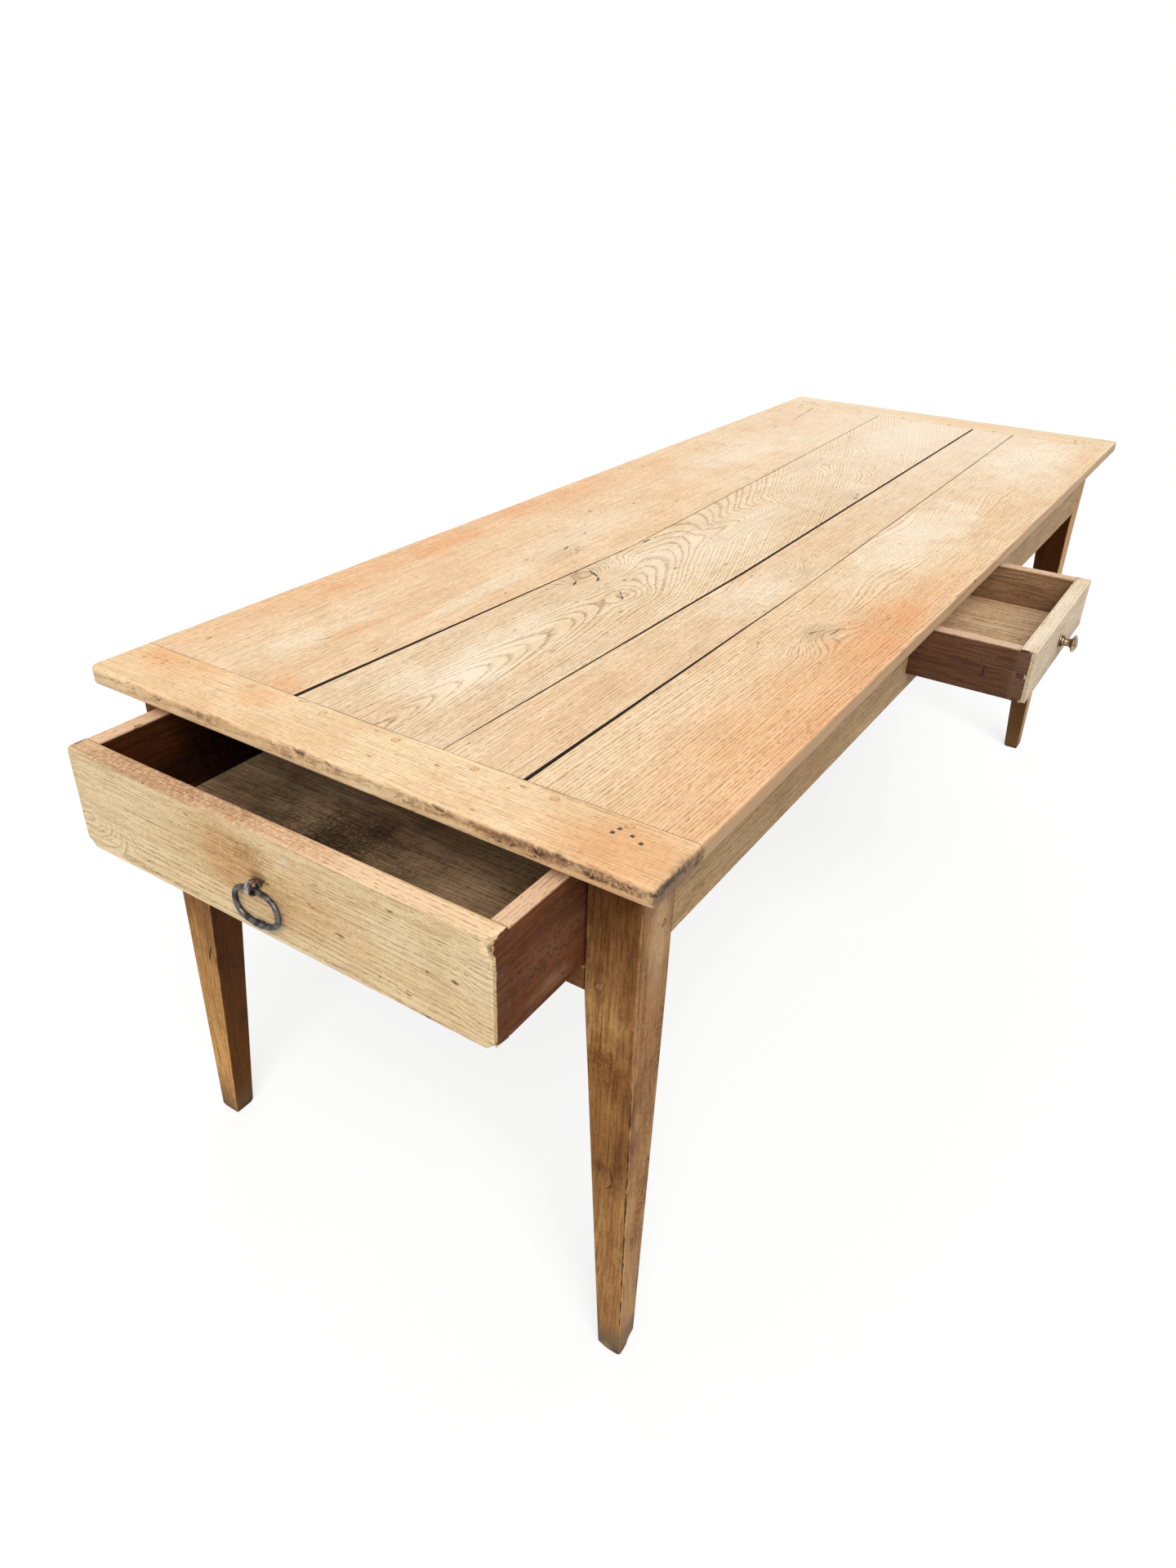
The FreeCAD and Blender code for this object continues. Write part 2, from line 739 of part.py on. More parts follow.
def drawer_stops():
    """Blocks on the runners that the drawer sides meet when shut."""
    stops = []
    x = end_closed_back + seat
    for side in ("right", "left"):
        y0, y1 = end_guide_span(side)
        wall = (y1, y1 + end_side_thickness) if side == "right" else (y0 - end_side_thickness, y0)
        stops.append(box(x, x + stop_length, wall[0], wall[1], -end_drawer_floor,
                         -end_drawer_floor + stop_height))
    y = side_closed_back + seat
    for which in ("near", "far"):
        x0, x1 = side_runner_x(which)
        if which == "near":
            x0 += side_guide_width
        else:
            x1 -= side_guide_width
        stops.append(box(x0, x1, y, y + stop_length, -side_drawer_floor,
                         -side_drawer_floor + stop_height))
    return Part.makeCompound(stops)


# Drawers. Each is drawn in its own frame: u inwards from the front's face, v across, w up
# from the bottom edge of the sides. It is then turned and moved into its opening.

class Drawer:
    def __init__(self, width, height, length, front, side, back, bottom, lap, corner, tails, place):
        self.width = width
        self.height = height
        self.length = length
        self.front = front
        self.side = side
        self.back = back
        self.bottom = bottom
        self.lap = lap
        self.corner = corner
        self.tails = tails
        self.place = place
        self.outer = width / 2 - side_inset
        self.inner = self.outer - side
        self.groove_top = groove_height + bottom + 2 * fit
        self.back_top = height - back_below_side

    def tail_rows(self, low, high):
        """The low and high w of each tail at its wide end."""
        pitch = (high - low) / self.tails
        return [(low + i * pitch + dovetail_pin / 2, low + (i + 1) * pitch - dovetail_pin / 2)
                for i in range(self.tails)]

    def front_tails(self, v, thick, grow):
        """The tails of a side's front end, as solids from v over a thickness."""
        u0, u1 = self.lap - grow, self.front
        narrowing = dovetail_slope * (u1 - u0)
        solids = []
        for a, b in self.tail_rows(0, self.height):
            points = [(u0, v, a - grow), (u0, v, b + grow),
                      (u1, v, b + grow - narrowing), (u1, v, a - grow + narrowing)]
            solids.append(prism(points, (0, thick, 0)))
        return solids

    def back_pins(self, v, thick, grow):
        """The pins of the back, between the tails of a side's rear end."""
        u0, u1 = self.length - self.back - grow, self.length
        narrowing = dovetail_slope * (u1 - u0)
        rows = self.tail_rows(self.groove_top, self.back_top)
        starts = [self.groove_top] + [b for a, b in rows]
        ends = [a for a, b in rows] + [self.back_top]
        solids = []
        for index, (a, b) in enumerate(zip(starts, ends)):
            low_root = a if index == 0 else a - narrowing
            high_root = b if index == len(rows) else b + narrowing
            points = [(u0, v, low_root - grow), (u0, v, high_root + grow),
                      (u1, v, b + grow), (u1, v, a - grow)]
            solids.append(prism(points, (0, thick, 0)))
        return solids

    def nail_places(self):
        u = self.length - self.back / 2
        return [(u, -self.inner + 2 * self.inner * share) for share in bottom_nail_shares]

    def nails(self, grow):
        return [nail(nail_radius + grow, (u, v, groove_height), (0, 0, 1),
                     self.bottom + nail_grip + grow) for u, v in self.nail_places()]

    def front_board(self, fittings):
        half = self.width / 2
        body = box(0, self.front, -half, half, 0, self.height)
        rim = [e for e in body.Edges if on_plane(e, "x", 0)]
        body = body.makeFillet(front_arris, rim)
        tools = list(fittings)
        for sign in (-1, 1):
            v = self.inner - fit if sign > 0 else -self.outer - overrun
            tools += self.front_tails(v, self.side + fit + overrun, fit)
            tools.append(self.lap_corner_tool(sign))
            shoulder = sorted((sign * self.outer, sign * (half + overrun)))
            tools.append(box(self.lap, self.front + overrun, shoulder[0], shoulder[1],
                             -overrun, self.height + overrun))
        tools.append(box(self.front - groove_depth, self.front + overrun, -self.inner, self.inner,
                         groove_height, self.groove_top))
        return cut(body, tools)

    def lap_corner_tool(self, sign):
        """What the worn lower corner of the lap has lost."""
        half = self.width / 2
        v0, v1 = sorted((sign * (half - self.corner), sign * (half + overrun)))
        block = box(-overrun, self.lap - fit, v0, v1, -overrun, self.corner)
        keep = rod(self.corner, (-overrun - overrun, sign * (half - self.corner), self.corner),
                   (1, 0, 0), self.lap + 3 * overrun)
        return block.cut(keep)

    def side_board(self, sign):
        v0, v1 = sorted((sign * self.inner, sign * self.outer))
        body = box(self.front, self.length, v0, v1, 0, self.height)
        top = [e for e in body.Edges if on_plane(e, "z", self.height)
               and (on_plane(e, "y", v0) or on_plane(e, "y", v1))]
        body = body.makeFillet(side_arris, top)
        body = fuse(body, *self.front_tails(v0, self.side, 0))
        tools = self.back_pins(v0 - overrun, self.side + 2 * overrun, fit)
        g0, g1 = sorted((sign * (self.inner - overrun), sign * (self.inner + groove_depth)))
        tools.append(box(self.front, self.length + overrun, g0, g1, groove_height, self.groove_top))
        return cut(body, tools)

    def back_board(self):
        body = box(self.length - self.back, self.length, -self.inner + fit, self.inner - fit,
                   self.groove_top, self.back_top)
        pins = []
        for sign in (-1, 1):
            v = self.inner - fit if sign > 0 else -self.outer
            pins += self.back_pins(v, self.side + fit, 0)
        return cut(fuse(body, *pins), self.nails(fit))

    def bottom_boards(self, count, across):
        """Boards in the grooves: laid side to side, or front to back when across is False."""
        u0, u1 = self.front - groove_depth + fit, self.length
        half = self.inner + groove_depth - fit
        w0, w1 = groove_height, groove_height + self.bottom
        corners = [box(u0 - overrun, self.front + fit, *sorted((sign * (self.inner - fit),
                                                               sign * (half + overrun))),
                       w0 - overrun, w1 + overrun) for sign in (-1, 1)]
        boards = []
        for i in range(count):
            if across:
                pitch = (u1 - u0 + bottom_gap) / count
                a = u0 + i * pitch
                body = box(a, a + pitch - bottom_gap, -half, half, w0, w1)
            else:
                pitch = (2 * half + bottom_gap) / count
                a = -half + i * pitch
                body = box(u0, u1, a, a + pitch - bottom_gap, w0, w1)
            boards.append(cut(body, corners + self.nails(fit)))
        return boards

    def placed(self, shape):
        return self.place(shape.copy())


end_centre = (leg_inner_right + leg_inner_left) / 2
end_face = rail_outer_near - end_drawer_open
side_face = rail_outer_right - side_drawer_open


def place_end(shape):
    shape.translate(vec(end_face, end_centre, -end_drawer_floor + seat))
    return shape


def place_side(shape):
    shape.rotate(vec(0, 0, 0), vec(0, 0, 1), 90)
    shape.translate(vec(side_drawer_centre, side_face, -side_drawer_floor + seat))
    return shape


end_drawer = Drawer(leg_inner_left - leg_inner_right - 2 * drawer_play,
                    end_drawer_floor - end_drawer_top - seat, end_drawer_length,
                    end_front_thickness, end_side_thickness, end_back_thickness,
                    end_bottom_thickness, end_lap, end_lap_corner, 3, place_end)
side_drawer = Drawer(side_front_width, side_drawer_floor - side_drawer_top - seat,
                     side_drawer_length, side_front_thickness, side_side_thickness,
                     side_back_thickness, side_bottom_thickness, side_lap, side_lap_corner,
                     2, place_side)


# Iron ring pull, in the end drawer's own frame

eye_w = end_drawer.height * eye_height_share
eye_inner = eye_loop_radius - eye_strap
eye_legs = eye_strap + eye_slit / 2
ring_u = -(eye_loop_radius + seat)
ring_w = eye_w - (eye_inner - ring_bar_radius - seat)


def strap_box(u0, u1, w0, w1):
    return box(u0, u1, -eye_strap_width / 2, eye_strap_width / 2, eye_w + w0, eye_w + w1)


def strap_round(radius):
    return rod(radius, (ring_u, -eye_strap_width / 2, eye_w), (0, 1, 0), eye_strap_width)


def eye_hole():
    return box(-overrun, end_drawer.front + overrun, -eye_strap_width / 2 - fit, eye_strap_width / 2 + fit,
               eye_w - eye_legs - fit, eye_w + eye_legs + fit)


def ring_eye():
    """A split eye of flat strap: a loop round the ring's bar, two legs through the front, ends clenched."""
    inside = end_drawer.front + seat
    legs = strap_box(ring_u, inside + eye_strap, -eye_legs, eye_legs)
    clench = strap_box(inside, inside + eye_strap, -eye_legs - eye_clench, eye_legs + eye_clench)
    slit = box(ring_u, inside + eye_strap + overrun, -eye_strap_width, eye_strap_width,
               eye_w - eye_slit / 2, eye_w + eye_slit / 2)
    return fuse(strap_round(eye_loop_radius), legs, clench).cut([strap_round(eye_inner), slit])


def ring_section(v, w, along_v, along_w, radius):
    """The ring's hammered section, square to its run at a point."""
    points = []
    for i in range(ring_flat_count + 1):
        turn = 2 * math.pi * i / ring_flat_count
        out = radius * math.sin(turn)
        points.append(vec(ring_u + radius * math.cos(turn), v + out * along_w, ring_w + w - out * along_v))
    return Part.makePolygon(points)


def ring_half(sign):
    """From the middle of the flat bar, round the corner and down the belly to the bead."""
    a, c = ring_bar_half, ring_corner
    wide = a + c
    sections = [(0, 0, 1, 0, ring_bar_radius)]
    for i in range(ring_corner_step_count + 1):
        turn = math.pi / 2 * i / ring_corner_step_count
        sections.append((a + c * math.sin(turn), -c + c * math.cos(turn),
                         math.cos(turn), -math.sin(turn), ring_bar_radius))
    turns = [math.pi / 2 * i / ring_belly_step_count for i in range(1, ring_belly_step_count)]
    radii = [ring_bar_radius + (ring_belly_radius - ring_bar_radius) * math.sin(t) for t in turns]
    turns += [math.pi / 2 - ring_bead_half / wide, math.pi / 2 - ring_bead_flat / wide, math.pi / 2]
    radii += [ring_belly_radius, ring_bead_radius, ring_bead_radius]
    for t, radius in zip(turns, radii):
        sections.append((wide * math.cos(t), -c - wide * math.sin(t), -math.sin(t), -math.cos(t), radius))
    wires = [ring_section(sign * v, w, sign * along_v, along_w, radius)
             for v, w, along_v, along_w, radius in sections]
    return Part.makeLoft(wires, True, True)


def ring_pull():
    return fuse(ring_half(1), ring_half(-1))


# Brass knob, in the side drawer's own frame

knob_w = side_drawer.height * knob_height_share


def post_hole(start, length):
    return flatted_rod(turned_flat_count, knob_post_radius + fit, (start, 0, knob_w), (1, 0, 0), length)


def knob_hole():
    return post_hole(-overrun, side_drawer.front + 2 * overrun)


def facets(start, middle, finish):
    """Points along an arc, close enough for a turned curve."""
    return Part.Arc(vec(*start), vec(*middle), vec(*finish)).discretize(Number=knob_arc_point_count)


def turned(profile):
    """A turned solid through a profile of u and radius, with many narrow flats."""
    turns = [2 * math.pi * i / turned_flat_count for i in range(turned_flat_count)]
    return skinned([[vec(p.x, p.z * math.cos(t), knob_w + p.z * math.sin(t)) for t in turns]
                    for p in profile])


def knob():
    """Turned profile from the post's tip, through the flange, collar and neck, to the cap."""
    tip = side_drawer.front + washer_thickness + nut_thickness + post_beyond_nut
    flange_face = (-knob_flange, 0, knob_neck_radius)
    collar_face = (-knob_collar_end, 0, knob_neck_radius)
    cap_back = (-knob_cap_back, 0, knob_cap_shoulder_radius)
    cap_edge = (-knob_cap_back - (knob_cap_rim - knob_cap_back) * knob_cap_edge_share, 0, knob_cap_radius)
    cap_rim = (-knob_cap_rim, 0, knob_cap_radius)
    dome = knob_reach - knob_cap_rim
    dome_radius = (knob_cap_radius ** 2 + dome ** 2) / (2 * dome)
    halfway = math.asin(knob_cap_radius / dome_radius) / 2
    crown = (-knob_reach + dome_radius * (1 - math.cos(halfway)), 0, dome_radius * math.sin(halfway))
    points = [vec(tip, 0, knob_post_radius), vec(0, 0, knob_post_radius),
              vec(0, 0, knob_flange_radius), vec(-knob_flange, 0, knob_flange_radius)]
    collar_crown = (-(knob_flange + knob_collar_end) / 2, 0, knob_collar_radius)
    points += facets(flange_face, collar_crown, collar_face)
    points += facets(collar_face, (-knob_neck_at, 0, knob_neck_radius * knob_waist_share), cap_back)[1:]
    points += [vec(*cap_edge)]
    points += facets(cap_rim, crown, (-knob_reach, 0, 0))[:-1]
    return turned(points)


def knob_washer():
    disc = flatted_rod(turned_flat_count, washer_radius, (side_drawer.front, 0, knob_w), (1, 0, 0),
                       washer_thickness)
    return disc.cut(post_hole(side_drawer.front - overrun, washer_thickness + 2 * overrun))


def knob_nut():
    u = side_drawer.front + washer_thickness
    body = box(u, u + nut_thickness, -nut_across / 2, nut_across / 2,
               knob_w - nut_across / 2, knob_w + nut_across / 2)
    return body.cut(post_hole(u - overrun, nut_thickness + 2 * overrun))


# All pieces

pieces = {}
for index, name in enumerate(plank_names):
    pieces[name] = plank(index)
pieces["breadboard_near"] = breadboard(0)
pieces["breadboard_far"] = breadboard(-1)
pieces["breadboard_pegs"] = breadboard_pegs()
pieces["top_nails"] = Part.makeCompound([n for end in ("near", "far") for side in ("right", "left")
                                         for n in top_nails(end, side, 0)])
for end in ("near", "far"):
    for side in ("right", "left"):
        pieces["leg_" + end + "_" + side] = leg(end, side)
pieces["long_rail_right"] = long_rail("right")
pieces["long_rail_left"] = long_rail("left")
pieces["end_rail_far"] = end_rail_far()
pieces["drawer_bearer"] = drawer_bearer()
pieces["top_rail_near"] = top_rail_near()
pieces["frame_pegs"] = Part.makeCompound([r for leg_name, member, r in frame_peg_rods(0)])
pieces["glue_blocks"] = glue_blocks()
for side in ("right", "left"):
    pieces["end_guide_" + side] = end_guide(side)
    pieces["end_runner_" + side] = end_runner(side)
for which in ("near", "far"):
    pieces["side_runner_" + which] = side_runner(which)
    pieces["side_guide_" + which] = side_guide(which)
pieces["runner_nails"] = runner_nails()
pieces["drawer_stops"] = drawer_stops()

pieces["end_drawer_front"] = end_drawer.placed(end_drawer.front_board([eye_hole()]))
pieces["end_drawer_side_right"] = end_drawer.placed(end_drawer.side_board(-1))
pieces["end_drawer_side_left"] = end_drawer.placed(end_drawer.side_board(1))
pieces["end_drawer_back"] = end_drawer.placed(end_drawer.back_board())
for place, board in zip(("front", "middle", "rear"), end_drawer.bottom_boards(3, True)):
    pieces["end_drawer_bottom_" + place] = end_drawer.placed(board)
pieces["end_drawer_nails"] = end_drawer.placed(Part.makeCompound(end_drawer.nails(0)))
pieces["ring_eye"] = end_drawer.placed(ring_eye())
pieces["ring_pull"] = end_drawer.placed(ring_pull())

pieces["side_drawer_front"] = side_drawer.placed(side_drawer.front_board([knob_hole()]))
pieces["side_drawer_side_far"] = side_drawer.placed(side_drawer.side_board(-1))
pieces["side_drawer_side_near"] = side_drawer.placed(side_drawer.side_board(1))
pieces["side_drawer_back"] = side_drawer.placed(side_drawer.back_board())
for place, board in zip(("far", "near"), side_drawer.bottom_boards(2, False)):
    pieces["side_drawer_bottom_" + place] = side_drawer.placed(board)
pieces["side_drawer_nails"] = side_drawer.placed(Part.makeCompound(side_drawer.nails(0)))
pieces["knob"] = side_drawer.placed(knob())
pieces["knob_washer"] = side_drawer.placed(knob_washer())
pieces["knob_nut"] = side_drawer.placed(knob_nut())

os.makedirs("parts", exist_ok=True)
for name, shape in pieces.items():
    shape.exportStep("parts/" + name + ".step")
    solids = shape.Solids
    print(name, "solids", len(solids), "valid", shape.isValid(),
          "litres", round(shape.Volume / 1e6, 3))
print("pieces", len(pieces))
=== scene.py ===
# %% [markdown]
# # A farmhouse table in old oak
# The construction model of the table is loaded as a fixed frame. It holds every board, joint
# and fitting at its real size. This script gives the boards their worn edges, grain and
# patina, and makes the iron and brass fittings anew with smooth surfaces.

# %% Load the frame
import math
import bmesh
import bpy
from mathutils import Matrix, Vector, noise


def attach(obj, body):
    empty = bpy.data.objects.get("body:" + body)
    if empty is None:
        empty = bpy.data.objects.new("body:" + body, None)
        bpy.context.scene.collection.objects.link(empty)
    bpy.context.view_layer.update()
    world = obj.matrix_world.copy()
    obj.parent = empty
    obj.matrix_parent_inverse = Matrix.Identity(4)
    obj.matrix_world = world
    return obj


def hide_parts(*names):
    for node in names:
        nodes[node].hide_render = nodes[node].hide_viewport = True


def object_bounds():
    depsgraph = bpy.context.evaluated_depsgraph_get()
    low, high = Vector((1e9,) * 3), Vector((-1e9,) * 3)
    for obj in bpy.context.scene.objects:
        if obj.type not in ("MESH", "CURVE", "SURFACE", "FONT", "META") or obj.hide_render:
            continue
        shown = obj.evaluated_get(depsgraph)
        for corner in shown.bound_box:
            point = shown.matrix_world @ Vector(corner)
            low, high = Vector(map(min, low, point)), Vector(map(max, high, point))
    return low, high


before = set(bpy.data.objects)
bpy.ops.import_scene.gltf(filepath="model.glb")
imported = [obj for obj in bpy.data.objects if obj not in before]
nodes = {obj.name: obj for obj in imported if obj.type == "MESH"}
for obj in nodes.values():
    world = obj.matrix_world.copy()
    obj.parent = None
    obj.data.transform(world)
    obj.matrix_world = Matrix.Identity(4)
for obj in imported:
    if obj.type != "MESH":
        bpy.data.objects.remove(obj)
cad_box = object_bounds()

MM = 0.001
print("nodes", len(nodes), "box", [[round(v, 4) for v in corner] for corner in cad_box])

# %% [markdown]
# ## Camera
# The picture was taken standing at the near right corner of the table, looking down on the
# top. A camera can be placed by eye until the edges agree, or worked out from them. Here it
# was worked out from the table's own edges, because a table has long straight lines that show
# the smallest error. A camera in Blender looks along its own -Z, so the matrix takes right,
# up and minus forward as its columns.

# %% Camera
camera_place = Vector((-1.6822425, -0.720231, 0.5342988))
camera_yaw, camera_pitch, camera_roll = (math.radians(a) for a in (32.2061, -30.7019, 1.8001))
camera_lens = 24.601

forward = Vector((math.cos(camera_pitch) * math.cos(camera_yaw),
                  math.cos(camera_pitch) * math.sin(camera_yaw), math.sin(camera_pitch)))
level_right = Vector((math.sin(camera_yaw), -math.cos(camera_yaw), 0))
level_up = level_right.cross(forward)
right = level_right * math.cos(camera_roll) + level_up * math.sin(camera_roll)
up = level_up * math.cos(camera_roll) - level_right * math.sin(camera_roll)

camera = bpy.data.objects.new("camera", bpy.data.cameras.new("camera"))
bpy.context.scene.collection.objects.link(camera)
camera_turn = Matrix((right, up, -forward)).transposed().to_4x4()
camera.matrix_world = Matrix.Translation(camera_place) @ camera_turn
camera.data.lens = camera_lens
camera.data.clip_end = 60
bpy.context.scene.camera = camera
bpy.context.scene.view_settings.view_transform = "Standard"
print("camera", camera_place[:], "lens", camera_lens)

# %% [markdown]
# ## A shorthand for shader nodes
# A wood finish needs many small sums. They could be joined by hand in the shader editor or
# written node by node, but either would fill pages and hide the idea. So a Recipe adds nodes
# to a tree, and a Signal is a node's output that can be added and multiplied as an ordinary
# number. The result is a plain node tree, open to editing by hand.

# %% Signal
class Signal:
    """A node's output, ready for ordinary sums."""

    def __init__(self, recipe, socket):
        self.recipe, self.socket = recipe, socket

    def __add__(self, other):
        return self.recipe.math("ADD", self, other)

    def __sub__(self, other):
        return self.recipe.math("SUBTRACT", self, other)

    def __rsub__(self, other):
        return self.recipe.math("SUBTRACT", other, self)

    def __mul__(self, other):
        return self.recipe.math("MULTIPLY", self, other)

    def __truediv__(self, other):
        return self.recipe.math("DIVIDE", self, other)

    __radd__, __rmul__ = __add__, __mul__


print("a Signal adds, subtracts, multiplies and divides")

# %% [markdown]
# The Recipe holds the few kinds of node that the finishes need. Each method makes one node,
# sets its inputs and hands back its output as a Signal. A smooth MapRange stands in for the
# colour ramps that one would drag by hand, because its two ends can be named.

# %% Recipe
class Recipe:
    """Adds nodes to a tree. A value may be a number, a colour or a Signal."""

    def __init__(self, tree):
        self.tree = tree

    def put(self, socket, value):
        if isinstance(value, Signal):
            self.tree.links.new(value.socket, socket)
        elif socket.type == "RGBA" and len(value) == 3:
            socket.default_value = (*value, 1)
        else:
            socket.default_value = value

    def node(self, kind, inputs=(), output=0, **settings):
        made = self.tree.nodes.new("ShaderNode" + kind)
        made.location = (180 * (len(self.tree.nodes) % 12), -200 * (len(self.tree.nodes) // 12))
        for key, value in settings.items():
            setattr(made, key, value)
        for key, value in dict(inputs).items():
            self.put(made.inputs[key], value)
        return Signal(self, made.outputs[output]) if output is not None else made

    def math(self, operation, *values):
        return self.node("Math", dict(enumerate(values)), operation=operation)

    def span(self, value, low, high, to_low=0.0, to_high=1.0):
        return self.node("MapRange", {0: value, 1: low, 2: high, 3: to_low, 4: to_high},
                         interpolation_type="SMOOTHSTEP")

    def join(self, x, y, z):
        return self.node("CombineXYZ", {0: x, 1: y, 2: z})

    def split(self, vector):
        made = self.node("SeparateXYZ", {0: vector}, output=None)
        return [Signal(self, out) for out in made.outputs]

    def vector(self, operation, a, b=(0, 0, 0), output=0):
        return self.node("VectorMath", {0: a, 1: b}, output=output, operation=operation)

    def cloud(self, vector, scale=1.0, detail=2.0, rough=0.5):
        return self.node("TexNoise", {"Vector": vector, "Scale": scale, "Detail": detail,
                                      "Roughness": rough})

    def mix(self, factor, a, b, blend="MIX"):
        return self.node("Mix", {0: factor, 6: a, 7: b}, output=2, data_type="RGBA",
                         blend_type=blend)

    def group(self, tree, **inputs):
        made = self.tree.nodes.new("ShaderNodeGroup")
        made.node_tree = tree
        for key, value in inputs.items():
            self.put(made.inputs[key.replace("_", " ")], value)
        return {out.name: Signal(self, out) for out in made.outputs}


print("a Recipe adds", [word for word in vars(Recipe) if not word.startswith("_")])

# %% [markdown]
# ## Groups, materials and colours
# An effect such as grain or wear is used by many boards. It could be copied into every
# material, but a node group is built once and shared, and a change in it reaches all of them.
# Colours are written as they look on a screen, 0 to 255, which is how one reads them off a
# sample, and are turned into the linear values that shaders take.

# %% Groups, materials and colours
FLOAT, VECTOR = "NodeSocketFloat", "NodeSocketVector"


def effect(name, inputs, outputs):
    """A new shader node group: its tree, a Recipe, what it is given and what it gives."""
    tree = bpy.data.node_groups.new(name, "ShaderNodeTree")
    for label, kind, value in inputs:
        socket = tree.interface.new_socket(label, in_out="INPUT", socket_type=kind)
        if value is not None:
            socket.default_value = value
    for label, kind in outputs:
        tree.interface.new_socket(label, in_out="OUTPUT", socket_type=kind)
    recipe = Recipe(tree)
    given = {s.name: Signal(recipe, s) for s in tree.nodes.new("NodeGroupInput").outputs if s.name}
    gives = tree.nodes.new("NodeGroupOutput").inputs
    return tree, recipe, given, gives


def blank_material(name):
    """A new material without nodes, and the Recipe that fills it."""
    material = bpy.data.materials.new(name)
    material.use_nodes = True
    material.node_tree.nodes.clear()
    return material, Recipe(material.node_tree)


def srgb(red, green, blue):
    """A colour as seen on a screen, 0 to 255, as the linear values that shaders take."""
    return tuple(((c / 255 + 0.055) / 1.055) ** 2.4 if c > 10 else c / 255 / 12.92
                 for c in (red, green, blue))


print("white is", srgb(255, 255, 255))

# %% [markdown]
# ## Light
# The table stands in soft open light on white. A sky picture or a ring of area lamps could
# give that. A plain world and two very soft suns are enough here: one from the near right
# gives the top its brightness and the sides their shade, and a weak one from the far left
# fills in. The camera sees plain white through the Light Path node, so the white costs no
# light.

# %% World and lamps
world_level = 0.50
key_level, key_direction = 0.785, Vector((-0.70, -0.58, 0.92))
fill_level, fill_direction = 0.06, Vector((0.55, 0.65, 0.6))
sun_softness = math.radians(38)

world = bpy.data.worlds.new("soft sky")
bpy.context.scene.world = world
world.use_nodes = True
world.node_tree.nodes.clear()
sky = Recipe(world.node_tree)


def seen_directly(recipe):
    """1 for the camera, mirrors and glass, 0 for light that falls on things."""
    paths = recipe.node("LightPath", output=None).outputs
    camera_ray, glossy, through = (Signal(recipe, paths[n]) for n in
                                   ("Is Camera Ray", "Is Glossy Ray", "Is Transmission Ray"))
    return recipe.math("MAXIMUM", recipe.math("MAXIMUM", camera_ray, glossy), through)


sky_level = seen_directly(sky) * (1 - world_level) + world_level
sky_glow = sky.node("Background", {"Color": (1, 1, 1), "Strength": sky_level})
sky.node("OutputWorld", {"Surface": sky_glow}, output=None)


def sun(name, direction, level):
    """A distant lamp; level is the brightness that a white card facing it shows."""
    lamp = bpy.data.objects.new(name, bpy.data.lights.new(name, "SUN"))
    bpy.context.scene.collection.objects.link(lamp)
    lamp.rotation_euler = direction.to_track_quat("Z", "Y").to_euler()
    lamp.data.energy = level * math.pi
    lamp.data.angle = sun_softness


sun("key light", key_direction, key_level)
sun("fill light", fill_direction, fill_level)
print("world", world_level, "key", key_level, "fill", fill_level)

# %% [markdown]
# ## Floor
# On the real picture the table stands on pale ground. A floor is needed for the shadow under
# the feet and for the light that bounces back on the rails. It glows a little, so that it
# stays nearly white for the camera and keeps a light shadow, while for bounced light it is a
# plain darker grey, as ground outdoors is. Towards its rim it fades to white, so that no
# horizon shows.

# %% Floor
floor_grey, floor_glow = 0.28, 0.73
floor_reach, floor_sides = 6.0, 96
floor_fade = (1.9, 3.4)
floor_gap = 0.0004

floor_material, ground = blank_material("floor")
ground_place = ground.node("TexCoord", output="Object")
ground_distance = ground.vector("LENGTH", ground_place, output=1)
ground_lit = ground.node("AddShader", {
    0: ground.node("Emission", {"Color": (1, 1, 1), "Strength": floor_glow}),
    1: ground.node("BsdfDiffuse", {"Color": (floor_grey,) * 3})})
ground_far = ground.node("MixShader", {
    0: ground.span(ground_distance, *floor_fade), 1: ground_lit,
    2: ground.node("Emission", {"Color": (1, 1, 1), "Strength": 1.0})})
ground_shade = ground.node("MixShader", {
    0: seen_directly(ground), 2: ground_far,
    1: ground.node("BsdfDiffuse", {"Color": (floor_grey,) * 3})})
ground.node("OutputMaterial", {"Surface": ground_shade}, output=None)

floor_mesh = bpy.data.meshes.new("floor")
floor_bm = bmesh.new()
bmesh.ops.create_circle(floor_bm, cap_ends=True, radius=floor_reach, segments=floor_sides)
floor_bm.to_mesh(floor_mesh)
floor_bm.free()
floor_mesh.materials.append(floor_material)
floor = bpy.data.objects.new("floor", floor_mesh)
bpy.context.scene.collection.objects.link(floor)
floor.location.z = cad_box[0].z - floor_gap
print("floor at", round(floor.location.z, 4))

# %% [markdown]
# ## Growth rings
# A board is a slice through a log, so its figure is where the surface cuts the tree's rings.
# A picture of oak could be laid on the faces, but it would not run round the edges, and wave
# textures repeat. This group measures the distance from a point to a slowly wandering pith
# that lies outside the board and leans towards or away from its face. Where the pith leans,
# the rings run out in nested arches; where it lies far to one side, they are straight lines.
# Swell pushes the rings aside round a knot, and Swerve turns them off beyond a point of the
# board. Years differ in width, and each ring starts with a sharp porous line that fades into
# dense wood.

# %% Growth rings group
def stretched(recipe, board, seed, along, across, detail=2, rough=0.5):
    """Noise with so many lumps to the metre along a board and across it."""
    u, v, w = board
    spot = recipe.join(u * along + seed, v * across, w * across)
    return recipe.cloud(spot, detail=detail, rough=rough)


